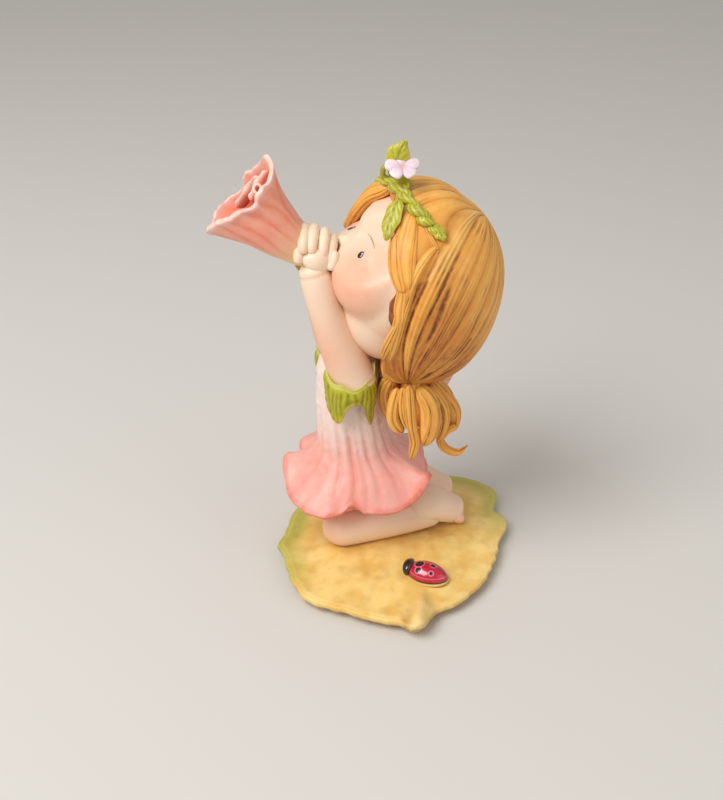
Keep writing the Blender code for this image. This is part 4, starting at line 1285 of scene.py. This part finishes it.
        # Wash in the grooves, with painted shade low down, by her face and where the hair sinks at the
        # hairline; dry brushing and a painted highlight on the ridges higher up; and the darker orange tint
        # as painted shade low down and in the grooves above
        wash = (1 - main) ** 1.3 * (0.45 + 0.55 * low) * (0.4 + 0.6 * chance)
        wash = wash + 0.7 * nicks * (0.45 + 0.55 * low) + 0.45 * (1 - fine) * (0.12 + 0.88 * low)
        wash = wash + 0.25 * sink + 0.40 * face_side * (1 - chance) * (1 - hairs)
        dry = main * fine * (0.20 + 0.5 * chance) * (1 - 0.7 * low) + 0.30 * hairs * main * (1 - low)
        tint = 0.6 * low * (1 - chance) + 0.25 * (1 - main) * (1 - low)
        return places, {"wash": wash, "dry": dry, "tint": tint}

    def build_mass(self) -> None:
        """Rolls the combed mass and cuts off what lies inside the face."""
        piece = rolled("hair", 440, 130, self.form, HAIR)
        deselect()
        piece.select_set(True)
        bpy.context.view_layer.objects.active = piece
        bpy.ops.object.mode_set(mode="EDIT")
        bpy.ops.mesh.select_all(action="SELECT")
        normal = forward(self.hairline_deg)
        at = (np.array(self.head.middle) - np.array((self.hairline, 0, 0)) + normal * 2.2) * MM
        bpy.ops.mesh.bisect(plane_co=tuple(at), plane_no=tuple(normal), use_fill=True, clear_outer=True)
        bpy.ops.object.mode_set(mode="OBJECT")

    def lock(
        self, name: str, knots: Rows, facing: Place, strands: float, deep: float, carve: float = 0.34
    ) -> None:
        """Builds one loose lock with combed strands.

        Args:
            name: the piece's name.
            knots: its curve and half sizes.
            facing: the way its flat side faces.
            strands: how many strands its girth shows.
            deep: how dark the wash in its grooves is.
            carve: how deep its grooves are, in millimetres.
        """
        limb = Limb(knots, facing, (0.12, 0.16))
        seed = float(len(name)) + knots[0][0]

        def form(u: np.ndarray, v: np.ndarray) -> Painted:
            """The lock's skin, grooved between its strands."""
            turn = 2 * math.pi * u
            ring = np.stack((np.cos(turn) * 2, np.sin(turn) * 2, v * 3), 1)
            phase = strands * u + 0.45 * patches(ring * (1.0, 1.0, 0.4), 1.0, seed) + 0.3 * v
            main = combed(phase, 0.6)
            fine = combed(phase * 3, 0.8)
            places = limb.form(u, v, -carve * ((1 - main) + 0.3 * (1 - fine)))
            # Wash in the grooves, darker towards the lock's end, and dry brushing with a painted highlight on
            # the ridges
            wash = deep * ((1 - main) ** 1.3 + 0.35 * (1 - fine)) + 0.25 * ease(0.75, 1.0, v)
            return places, {"wash": wash, "dry": 0.45 * main * fine}

        rolled(name, 72, 60, form, HAIR)

    def build_fringe(self) -> None:
        """Lays the locks over the mass: by the face, on her near side and the far fringe."""
        for name, width, depth, deep, rows in self.side_locks:
            shares = np.linspace(0, 1, len(rows))
            widths = [width * (0.30 + 0.75 * math.sin(math.pi * (0.12 + 0.80 * t))) for t in shares]
            places = [self.on_hair(rise, across, -0.25) for rise, across in rows]
            knots = tuple((*p, w, depth) for p, w in zip(places, widths))
            self.lock(f"lock_{name}", knots, tuple(toward(*rows[len(rows) // 2])), 7, deep, 0.16)
        far = ((74, 0.06, 1.8), (62, 0.28, 2.6), (46, 0.46, 2.8), (32, 0.58, 2.2), (22, 0.62, 1.2))
        knots = tuple((*self.on_hair(rise, across, -0.5), w, 1.5) for rise, across, w in far)
        self.lock("fringe_far", knots, (-0.9, 0.4, 0.4), 7, 0.5)

    def build(self) -> None:
        """Builds the mass and the fringe."""
        self.build_mass()
        self.build_fringe()


@dataclass
class Curls:
    """Locks that hang from the tie on to her back and curl at their ends.

    A lock is rows of x, y, z and radius. The first few on the near side are the fullest.
    """

    hair: Hair
    fullest: int = 4

    NEAR: ClassVar[tuple[Rows, ...]] = (
        (
            (-0.3, -1.5, 46.5, 0.75), (-1.0, -1.5, 43.1, 1.1), (-1.2, -1.5, 39.4, 1.2),
            (-0.1, -1.5, 36.9, 1.1), (1.2, -1.5, 35.5, 0.5),
        ),
        (
            (0.8, -2.6, 47.2, 0.75), (0.6, -2.8, 43.8, 0.75), (0.9, -2.8, 40.3, 0.75),
            (2.1, -2.8, 36.8, 0.6),
        ),
        (
            (1.7, -3.2, 48.0, 0.8), (2.0, -3.6, 43.7, 0.95), (2.5, -3.6, 38.7, 0.95),
            (3.3, -3.6, 34.4, 0.95), (2.9, -3.6, 31.7, 0.75), (2.5, -3.6, 29.4, 0.3),
        ),
        (
            (3.8, -2.8, 47.2, 1.3), (5.8, -3.2, 43.7, 1.65), (6.4, -3.2, 39.7, 1.85),
            (6.1, -3.2, 36.2, 1.65), (5.3, -3.2, 32.7, 0.9),
        ),
        (
            (6.0, -1.4, 46.3, 0.95), (8.6, -1.6, 42.5, 1.3), (9.6, -1.6, 39.1, 1.3),
            (9.4, -1.6, 35.6, 1.1), (8.4, -1.6, 32.6, 0.7),
        ),
        (
            (7.2, 1.0, 45.7, 1.1), (10.6, 0.8, 41.9, 1.4), (12.3, 0.8, 38.7, 1.5),
            (12.4, 0.8, 35.6, 1.3), (11.6, 0.8, 33.4, 0.9),
        ),
        (
            (12.7, -0.6, 35.6, 0.95), (10.4, -1.0, 34.7, 0.95), (9.2, -1.0, 32.5, 0.95),
            (10.6, -1.0, 30.1, 0.95), (13.2, -1.0, 29.1, 0.8), (15.4, -1.0, 30.7, 0.3),
        ),
    )  # fmt: skip
    BEHIND: ClassVar[tuple[Rows, ...]] = (
        ((-1.0, 1.0, 48.0, 1.6), (-1.6, 3.4, 43.5, 2.2), (-0.6, 4.4, 38.0, 2.2), (1.0, 3.0, 33.5, 1.2)),
        ((3.5, 2.0, 48.5, 1.8), (6.5, 4.2, 44.0, 2.4), (8.0, 4.2, 38.5, 2.4), (7.0, 2.8, 33.5, 1.3)),
        ((2.5, -0.5, 48.5, 2.0), (4.2, -0.6, 42.5, 3.0), (5.2, -0.8, 36.5, 2.2)),
        ((6.5, 1.0, 47.0, 1.4), (9.8, 1.4, 42.4, 2.0), (11.4, 1.4, 37.6, 1.8), (10.8, 1.2, 34.0, 1.0)),
    )

    def build(self) -> None:
        """Builds every lock of the tail, and the band of hair that ties them."""
        tie = self.hair.tie
        for number, knots in enumerate(self.NEAR + self.BEHIND):
            plump = 1.3 if number < self.fullest else 1.05
            strands = 5 if number < len(self.NEAR) else 9
            rows = tuple((x, y, z, plump * r, 0.95 * plump * r) for x, y, z, r in knots)
            self.hair.lock(f"curl_{number}", rows, (0.3, -0.9, 0.1), strands, 0.75)
        for number, drop in enumerate((-0.4, 0.8)):
            places = []
            for turn in range(0, 421, 60):
                a = math.radians(turn)
                off = np.array((3.1 * math.cos(a), 2.9 * math.sin(a), -drop - turn / 420 * 0.4))
                places.append((*(tie + off), 0.75, 0.7))
            self.hair.lock(f"tie_{number}", tuple(places), (0.0, 0.0, 1.0), 5, 0.8)


@dataclass
class Wreath:
    """Vines twisted over the hair, with leaves and one blossom on top."""

    hair: Hair
    vine_radius: float = 0.80
    leaf_width: float = 4.6
    blossom_radius: float = 2.6
    blossom_at: Place = (0.75, 4.8, 91.5)
    knot_radius: float = 1.35

    ARC: ClassVar[Rows] = (
        (101, -0.70), (95, -0.635), (90, -0.57), (85, -0.48), (81, -0.36), (78, -0.20), (75, -0.02),
        (72, 0.16), (70, 0.34), (84, 0.60),
    )  # fmt: skip
    TOP: ClassVar[Rows] = (
        (0.3, 6.2, 89.4, 1.0), (0.0, 6.1, 91.6, 2.2), (0.1, 6.0, 93.2, 2.4), (0.6, 6.0, 94.6, 1.9),
        (1.2, 6.0, 95.6, 1.0), (1.7, 6.0, 96.3, 0.25),
    )  # fmt: skip
    FRONT: ClassVar[Rows] = (
        (76, -0.33, 0.3), (72.5, -0.39, 0.9), (69, -0.45, 1.1), (65, -0.51, 1.05), (61, -0.57, 0.75),
        (56.5, -0.63, 0.2),
    )  # fmt: skip
    END: ClassVar[Rows] = ((94, -0.62, 0.3), (97, -0.655, 0.55), (100, -0.69, 0.5), (103.5, -0.73, 0.12))
    BOW: ClassVar[Rows] = (
        (80, 0.12, 0.6), (80, 0.03, 1.0), (80, -0.06, 1.0), (80, -0.15, 0.95), (80, -0.24, 0.5),
    )  # fmt: skip
    PETAL: ClassVar[Rows] = (
        (0.0, 0.3, 0.0), (0.35, 0.85, 0.35), (0.70, 1.30, 0.45), (1.0, 1.10, 0.25), (1.12, 0.5, 0.1),
    )  # fmt: skip
    CURL: ClassVar[Rows] = (
        (0.0, 0.0, -0.8), (-1.1, 0.0, 0.3), (-0.8, 0.0, 1.8), (0.5, 0.0, 1.9), (0.7, 0.0, 0.8),
        (-0.1, 0.0, 0.5),
    )  # fmt: skip

    def strand(self, number: int) -> None:
        """Builds one of the two twisted vines, 0 or 1."""
        shares = np.linspace(0, 1, 33)
        arc = through(self.ARC, shares)
        places = np.array([self.hair.on_hair(rise, across, 0.35) for rise, across in arc])
        ahead = unit(np.gradient(places, axis=0))
        out = unit(places - np.array(self.hair.head.middle))
        side = np.cross(ahead, out)
        turn = shares * 2 * math.pi * 4.0 + number * math.pi
        swing = 0.75 * self.vine_radius
        places = places + side * (swing * np.cos(turn))[:, None] + out * (swing * 0.7 * np.sin(turn))[:, None]
        lumps = 0.25 * np.sin(shares * 23 + number * 2)
        swell = self.vine_radius * (0.70 + 0.45 * ease(0.0, 0.35, shares) + lumps)
        limb = Limb(tuple((*p, r, r * 0.9) for p, r in zip(places, swell)), (-0.4, -0.5, 0.8), (0.03, 0.03))

        def form(u: np.ndarray, v: np.ndarray) -> Painted:
            """The vine's skin, ribbed along its twist."""
            ribs = combed(u * 5 + v * 26, 0.8)
            places = limb.form(u, v, -0.12 * (1 - ribs))
            # Painted shade on the vine's underside, and dark olive in the grooves between the ribs
            under = ease(0.2, -0.8, np.sin(2 * math.pi * u))
            return places, {"wash": 0.55 * (1 - ribs) + 0.5 * under, "dry": 0.5 * ribs}

        rolled(f"vine_{number}", 28, 200, form, SPRING_GREEN)

    def leaf(self, name: str, knots: Rows, facing: Place) -> None:
        """Builds one leaf blade with a middle vein, side veins and a pale edge.

        Args:
            name: the piece's name.
            knots: its curve and half sizes.
            facing: the way its upper side faces.
        """
        limb = Limb(knots, facing, (0.10, 0.10))

        def form(u: np.ndarray, v: np.ndarray) -> Painted:
            """The blade's skin, veined on both faces."""
            turn = 2 * math.pi * u
            width = np.cos(turn)
            face = np.abs(np.sin(turn))
            middle = hump(width, 0.0, 0.10)
            veins = combed(v * 6 - np.abs(width) * 1.6, 0.6)
            wavy = 0.12 * np.sin(v * 19 + 2 * np.sign(width)) * np.abs(width)
            places = limb.form(u, v, (-0.20 * middle - 0.14 * (1 - veins)) * face + wavy)
            wash = 0.55 * middle * face + 0.35 * (1 - veins) * face + 0.5 * ease(0.12, 0.0, v)
            return places, {"wash": wash, "dry": 0.6 * ease(0.82, 0.98, np.abs(width)) + 0.3 * veins * face}

        rolled(name, 56, 48, form, SPRING_GREEN)

    def blossom(self) -> None:
        """Builds five rounded petals and a yellow middle on a short stalk."""
        centre = np.array(self.blossom_at)
        face = unit(np.array((-0.12, -0.52, 0.85)))
        across = unit(np.cross(face, (0.0, 0.0, 1.0)))
        above = np.cross(across, face)
        for petal in range(5):
            a = 2 * math.pi * (petal + 0.15) / 5
            out = across * math.cos(a) * 1.15 + above * math.sin(a) * 0.95
            reach = self.blossom_radius
            knots = tuple((*(centre + out * reach * t + face * lift), w, 0.58) for t, w, lift in self.PETAL)
            limb = Limb(knots, tuple(face), (0.1, 0.25))

            def form(u: np.ndarray, v: np.ndarray, limb: Limb = limb) -> Painted:
                """The petal's skin, cupped and creased down its middle."""
                width = np.cos(2 * math.pi * u)
                cup = 0.16 * width**2
                places = limb.form(u, v, cup * 0.5 - 0.08 * hump(width, 0.0, 0.15))
                wash = 0.5 * ease(0.5, 0.1, v)
                return places, {"wash": wash, "dry": 0.9 * ease(0.5, 0.9, v), "tint": ease(0.2, 0.0, v)}

            rolled(f"petal_{petal}", 36, 28, form, BLOSSOM_LILAC)
        heart = tuple((*(centre + face * z), r, r) for z, r in ((-0.2, 0.5), (0.35, 0.7), (0.75, 0.55)))
        rolled("blossom_heart", 24, 16, plain(Limb(heart, (1, 0, 0), (0.3, 0.4)), tint=1.0), BLOSSOM_LILAC)
        foot = self.hair.on_hair(80, -0.10, -0.6)
        stalk = tuple((*(foot + (centre - foot) * t), r, r) for t, r in ((0.0, 1.5), (0.5, 1.2), (1.0, 1.1)))
        rolled("blossom_stalk", 24, 16, plain(Limb(stalk, (1, 0, 0), (0.1, 0.1)), wash=0.3), SPRING_GREEN)

    def build(self) -> None:
        """Builds the vines, their leaves and the blossom."""
        for number in (0, 1):
            self.strand(number)
        hair = self.hair
        half = self.leaf_width / 2
        self.leaf("leaf_top", tuple((*row, 0.7) for row in self.TOP), (-0.2, -0.85, 0.5))
        slim = half * 0.72
        front = tuple((*hair.on_hair(rise, across, 0.9), slim * w, 0.7) for rise, across, w in self.FRONT)
        self.leaf("leaf_front", front, (-0.55, -0.7, 0.45))
        end = tuple((*hair.on_hair(rise, across, 0.7), half * w, 0.6) for rise, across, w in self.END)
        self.leaf("leaf_end", end, (0.1, -0.9, 0.4))
        wide = self.knot_radius
        deep = wide * 0.8
        bow = tuple((*hair.on_hair(rise, across, 0.9), wide * w, deep * w) for rise, across, w in self.BOW)
        self.leaf("wreath_bow", bow, (-0.5, -0.5, 0.7))
        foot = hair.on_hair(74, 0.10, 1.4)
        curl = tuple((*(foot + np.array(place)), 0.55, 0.55) for place in self.CURL)
        limb = Limb(curl, (0.1, -1.0, 0.4), (0.06, 0.08))
        rolled("wreath_curl", 20, 60, plain(limb, wash=0.35, dry=0.2), SPRING_GREEN)
        self.blossom()


@dataclass
class Trumpet:
    """The flower that is her trumpet: a pipe that opens into a ruffled bell."""

    mouth: Place = (-11.9, 8.5, 71.8)
    reach: float = 18.2
    rise: float = 13.4
    swing_deg: float = 2.0
    pipe_radius: float = 2.3
    rim_radius: float = 9.4
    wall: float = 0.9
    hollow: float = 0.50
    lip_from: float = 0.56
    lip_to: float = 0.60
    petals: tuple[Rows, ...] = (
        (
            (-24.6, 8.4, 90.6, 1.0), (-25.6, 7.4, 89.4, 1.3), (-26.6, 5.8, 88.4, 1.4),
            (-27.4, 4.4, 87.4, 1.3), (-28.3, 4.2, 86.3, 0.9),
        ),
        (
            (-26.0, 13.2, 88.0, 1.0), (-27.4, 13.4, 86.2, 1.3), (-28.4, 11.6, 85.2, 1.4),
            (-29.6, 11.4, 83.8, 1.3), (-31.0, 12.4, 81.9, 0.9),
        ),
    )  # fmt: skip
    curl_at: Place = (-26.9, 4.2, 88.7)
    line: Rows = ((0.0, 0.0), (0.27, 0.12), (0.50, 0.38), (0.74, 0.70), (1.0, 1.0))
    rim: Rows = (
        (0, 9.9, 1.2), (20, 8.4, 0.5), (45, 7.0, 0.4), (65, 6.8, 1.0), (85, 6.8, -0.5), (105, 7.8, -0.9),
        (125, 8.8, 0.3), (150, 8.3, 0.9), (170, 8.9, 0.4), (182, 9.7, 0.6), (195, 8.6, 1.5), (215, 7.6, 1.5),
        (240, 6.8, 0.6), (262, 6.6, 0.0), (285, 7.6, -1.3), (305, 9.3, -0.5), (330, 9.2, -1.0),
        (345, 10.0, -0.3),
    )  # fmt: skip

    def form(self, u: np.ndarray, v: np.ndarray) -> Painted:
        """The flower's skin, from the lips out over the rim and back down inside."""
        share = np.interp(v, (0.0, self.lip_from, self.lip_to, 1.0), (0.0, 1.0, 1.0, self.hollow))
        inside = ease(self.lip_from, self.lip_to, v)
        swing = np.array(Matrix.Rotation(math.radians(-self.swing_deg), 3, "Z"))
        bends = [tuple(swing @ np.array((-x * self.reach, 0.0, z * self.rise))) for x, z in self.line]
        middle = np.array(self.mouth) + through(tuple(bends), share)
        ahead = unit(through(tuple(bends), share + 0.01) - through(tuple(bends), share - 0.01))
        across = unit(np.cross(ahead, (0.0, 0.0, 1.0)))
        over = np.cross(across, ahead)
        angle = 360 * u
        open_out = ease(0.45, 1.0, share) ** 1.4
        rim_reach = around(self.rim, angle, 1)
        rim_lift = around(self.rim, angle, 2)
        turn = 2 * math.pi * u
        late = np.clip(np.cos(turn), 0, 1) ** 4 * ease(0.2, 0.55, share)
        opened = 0.25 * (1 - late) * share + (0.75 + 0.25 * late) * share ** (1.4 + 1.2 * late)
        radius = self.pipe_radius + (self.rim_radius - self.pipe_radius) * opened
        radius = radius * (1 + open_out * (rim_reach / self.rim_radius - 1))
        ring = np.stack((np.cos(turn) * 4, np.sin(turn) * 4, share * 3), 1)
        ribs = combed(u * 13 + 0.5 * patches(ring, 1.0, 3), 0.8)
        folds = np.sin(5 * turn + 1.2) * ease(0.3, 0.9, share)
        radius = radius - 0.08 * (1 - ribs) * ease(0.2, 0.6, share) * (1 - inside) - inside * self.wall
        radius = radius - inside * ease(1.0, 0.8, share) * (0.9 + 1.1 * folds) * ease(0.5, 0.6, share)
        ruffle = 0.30 * patches(ring, 0.55, 4) * ease(0.85, 1.0, share)
        lip = hump(v, 0.58, 0.020)
        radius = radius + 0.35 * hump(v, 0.553, 0.012)
        lift = open_out**2 * rim_lift + ruffle + 0.45 * lip
        out = over * np.cos(turn)[:, None] + across * np.sin(turn)[:, None]
        closed = ease(0.0, 0.02, v) * ease(1.0, 0.985, v)
        places = middle + out * (radius * closed)[:, None] + ahead * lift[:, None]
        pale = 1.2 * hump(v, 0.58, 0.034) + 0.25 * ribs * ease(0.3, 0.6, share) * (1 - inside)
        # Dark in the grooves between the ribs; painted shade inside the bell, deeper towards the pipe; and on
        # the underside, painted shade with more cream
        wash = 0.25 * (1 - ribs) * ease(0.35, 0.7, share) * (1 - inside)
        wash = wash + inside * (0.15 + 0.75 * ease(0.93, 0.65, share))
        below = hump(off_by(angle, 180), 0.0, 50) * ease(0.75, 0.3, share)
        cream = ease(0.72, 0.25, share) * (1 - inside)
        return places, {"dry": pale, "wash": wash + 0.2 * below, "tint": cream + 0.3 * below}

    def build(self) -> None:
        """Rolls the trumpet, lays the folds and the curl in its mouth, and adds the green calyx."""
        rolled("trumpet", 220, 150, self.form, TRUMPET_PINK)
        for number, rows in enumerate(self.petals):
            knots = tuple((x, y, z, 0.45, w) for x, y, z, w in rows)
            limb = Limb(knots, (-0.75, -0.2, 0.6), (0.15, 0.15))

            def fold(u: np.ndarray, v: np.ndarray, limb: Limb = limb) -> Painted:
                """The fold's skin, wavy and pale along its edge."""
                edge = ease(0.0, 0.9, np.sin(2 * math.pi * u))
                return limb.form(u, v, 0.12 * np.sin(17 * v)), {"dry": 1.2 * edge, "wash": 0.35 * (1 - edge)}

            rolled(f"trumpet_fold_{number}", 32, 60, fold, TRUMPET_PINK)
        x, y, z = self.curl_at
        curl = tuple(
            (x + 0.7 * math.cos(a), y + 0.5 * math.sin(a), z + 0.7 * math.sin(a), 0.28, 0.28)
            for a in np.radians(np.arange(0, 331, 30))
        )
        limb = Limb(curl, (-0.6, -0.6, 0.5), (0.06, 0.06))
        rolled("trumpet_curl", 14, 60, plain(limb, dry=1.0), TRUMPET_PINK)
        x, y, z = self.mouth
        calyx = (
            (x - 8.4, y - 0.6, z + 0.2, 0.7, 0.7),
            (x - 6.6, y - 0.8, z - 1.0, 1.3, 1.2),
            (x - 5.0, y - 0.6, z - 1.6, 1.1, 1.0),
        )
        rolled("calyx", 28, 24, plain(Limb(calyx, (0, -1, 0), (0.3, 0.3)), wash=0.5, tint=0.4), SPRING_GREEN)


@dataclass
class Wings:
    """Petal wings, swept back from between her shoulders."""

    root: Place = (-3.0, 8.5, 43.8)
    length: float = 17.4
    width: float = 5.6
    tucked: float = 0.62
    reaching: float = 1.14
    spread: Rows = (
        (0.0, 0.46), (0.2, 0.62), (0.4, 0.82), (0.6, 0.95), (0.8, 0.96), (0.93, 0.80), (1.0, 0.55),
    )  # fmt: skip

    def build(self) -> None:
        """Builds both wings, her left one shorter under the curls."""
        for side in (-1, 1):
            root = np.array(self.root) + np.array((0.0, side * 2.2, 0.0))
            sweep = unit(np.array((0.93, side * 0.30, -0.26)))
            tip = root + sweep * self.length * (self.tucked if side < 0 else self.reaching)
            bow = np.array((0, side * 0.8, 0.4))
            places = [root + (tip - root) * t + bow * math.sin(math.pi * t) for t, _ in self.spread]
            knots = tuple((*p, self.width * w, 0.65) for p, (_, w) in zip(places, self.spread))
            limb = Limb(knots, (-0.30, side * 0.95, 0.0), (0.1, 0.12))

            def form(u: np.ndarray, v: np.ndarray, limb: Limb = limb) -> Painted:
                """The wing's skin, ribbed and scalloped like a petal."""
                width = np.cos(2 * math.pi * u)
                face = np.abs(np.sin(2 * math.pi * u))
                ribs = combed(width * 3.5 + 0.5 * v, 0.7)
                scallop = 0.30 * np.sin(v * 26) * ease(0.8, 1.0, np.abs(width))
                places = limb.form(u, v, -0.18 * (1 - ribs) * face + scallop)
                edge = ease(0.85, 1.0, np.abs(width)) + ease(0.93, 1.0, v)
                wash = 0.4 * (1 - ribs) * face + 0.3 * edge
                return places, {"wash": wash, "dry": 0.5 * ribs, "tint": 0.6 * edge}

            rolled(f"wing_{side_name(side)}", 80, 60, form, WING_PINK)


@dataclass
class Ladybird:
    """The ladybird on the leaf: lacquered wing cases, a black head and a pale line round its foot."""

    at: Place = (5.2, -11.8, 4.3)
    length: float = 9.4
    width: float = 6.2
    height: float = 3.2
    heading_deg: float = 150.0
    edge_from: float = 0.86

    def local(self, x: float, y: float, z: float) -> Place:
        """A place by shares of half the length, half the width and the height, head first."""
        a = math.radians(self.heading_deg)
        px = x * self.length / 2
        py = y * self.width / 2
        return (
            self.at[0] + px * math.cos(a) - py * math.sin(a),
            self.at[1] + px * math.sin(a) + py * math.cos(a),
            self.at[2] + z * self.height,
        )

    def dome(self, u: np.ndarray, v: np.ndarray) -> Painted:
        """The wing cases: a low dome with a seam down its middle and a pale line round its edge."""
        turn = 2 * math.pi * u
        polar = math.pi / 2 * np.clip(v / self.edge_from, 0, 1)
        over = v < self.edge_from
        flat = np.where(over, np.sin(polar), 1.0 - (v - self.edge_from) / 0.14)
        up = np.where(over, np.cos(polar) ** 0.85, -0.02)
        x = flat * np.cos(turn) * self.length / 2 * (1.0 - 0.06 * np.cos(turn))
        y = flat * np.sin(turn) * self.width / 2
        seam = hump(y, 0.0, 0.16) * ease(3.0, 2.0, x)
        z = up * self.height - 0.10 * seam
        a = math.radians(self.heading_deg)
        ahead = self.at[0] + x * math.cos(a) - y * math.sin(a)
        aside = self.at[1] + x * math.sin(a) + y * math.cos(a)
        places = np.stack((ahead, aside, self.at[2] + z), 1)
        # The wing cases go black low on their sides and along the seam, and a pale line runs round them
        line = hump(v, 0.62, 0.02) * 0.7
        rim = ease(0.72, 0.80, v)
        return places, {"wash": np.clip(rim + 0.7 * seam, 0, 1), "dry": line}

    def build(self) -> None:
        """Builds the wing cases, the head and the line round the foot."""
        spots = (
            (*self.local(0.34, 0.02, 0.92), 1.0),
            (*self.local(-0.30, -0.10, 0.95), 0.55),
            (*self.local(0.30, -0.72, 0.52), 0.45),
            (*self.local(0.26, 0.52, 0.72), 0.70),
            (*self.local(-0.34, 0.50, 0.70), 0.50),
            (*self.local(-0.80, -0.30, 0.46), 0.45),
        )
        rolled("ladybird_wing_cases", 120, 60, self.dome, ShellLacquer(spots=spots))
        head = (
            (*self.local(0.62, 0.0, 0.34), 2.4, 1.8),
            (*self.local(0.90, 0.0, 0.34), 2.3, 1.7),
            (*self.local(1.14, 0.0, 0.24), 1.5, 1.1),
        )
        rolled("ladybird_head", 40, 28, plain(Limb(head, (0, 0, 1), (0.4, 0.4))), BLACK_ENAMEL)
        foot = []
        for turn in range(0, 361, 30):
            a = math.radians(turn)
            foot.append((*self.local(1.03 * math.cos(a), 1.05 * math.sin(a), 0.06), 0.32, 0.26))
        line = Limb(tuple(foot), (0, 0, 1), (0.02, 0.02))
        rolled("ladybird_foot", 12, 90, plain(line, tint=0.0, wash=0.3), LEAF_OCHRE)


# What isn't part of the object


@dataclass
class Stage:
    """A pale floor, soft light and the photograph's camera."""

    camera_at: Place = (-31.1, -196.5, 164.1)
    camera_looks: Place = (0.1010, 0.8473, -0.5214)
    lens: float = 50.0
    lamps_aim: Place = (0.0, 0.0, 0.045)
    room_light: float = 0.48
    sensor_width: float = 36.0

    def floor(self) -> None:
        """Lays the pale card that the figurine stands on."""
        deselect()
        bpy.ops.mesh.primitive_plane_add(size=3.0)
        floor = bpy.context.object
        floor.name = "floor"
        card = bpy.data.materials.new("pale_card")
        card.use_nodes = True
        shader = card.node_tree.nodes["Principled BSDF"]
        shader.inputs["Base Color"].default_value = linear("d8d4ce")
        shader.inputs["Roughness"].default_value = 0.9
        floor.data.materials.append(card)

    def lamp(self, name: str, at: Place, size: float, power: float) -> None:
        """Adds a soft square lamp that points at the figurine."""
        deselect()
        bpy.ops.object.light_add(type="AREA", location=at)
        lamp = bpy.context.object
        lamp.name = name
        lamp.data.size = size
        lamp.data.energy = power
        aim = Vector(self.lamps_aim) - Vector(at)
        lamp.rotation_euler = aim.to_track_quat("-Z", "Y").to_euler()

    def camera(self) -> None:
        """Sets up the photograph's camera."""
        deselect()
        bpy.ops.object.camera_add(location=[c * MM for c in self.camera_at])
        camera = bpy.context.object
        camera.rotation_euler = Vector(self.camera_looks).to_track_quat("-Z", "Y").to_euler()
        camera.data.lens = self.lens
        camera.data.sensor_width = self.sensor_width
        camera.data.clip_start = 0.01
        bpy.context.scene.camera = camera

    def build(self) -> None:
        """Sets the scene."""
        self.floor()
        self.lamp("window", (-0.35, -0.22, 0.55), 0.40, 3.5)
        self.lamp("fill", (0.45, -0.35, 0.30), 0.50, 0.5)
        self.camera()
        world = bpy.data.worlds.new("room")
        world.use_nodes = True
        sky = world.node_tree.nodes["Background"]
        sky.inputs["Color"].default_value = linear("f4f2ee")
        sky.inputs["Strength"].default_value = self.room_light
        bpy.context.scene.world = world
        bpy.context.scene.view_settings.view_transform = "Standard"


def main() -> None:
    logging.basicConfig(level=logging.INFO, format="%(message)s")
    head = Head()
    hair = Hair(head)
    wearing = (Curls(hair), Wreath(hair), Trumpet(), Wings(), Ladybird())
    for part in (Leaf(), Legs(), Dress(), Arms(), head, hair, *wearing):
        part.build()
        log.info("%s built", type(part).__name__)
    Stage().build()
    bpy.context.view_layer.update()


if __name__ == "__main__":
    main()
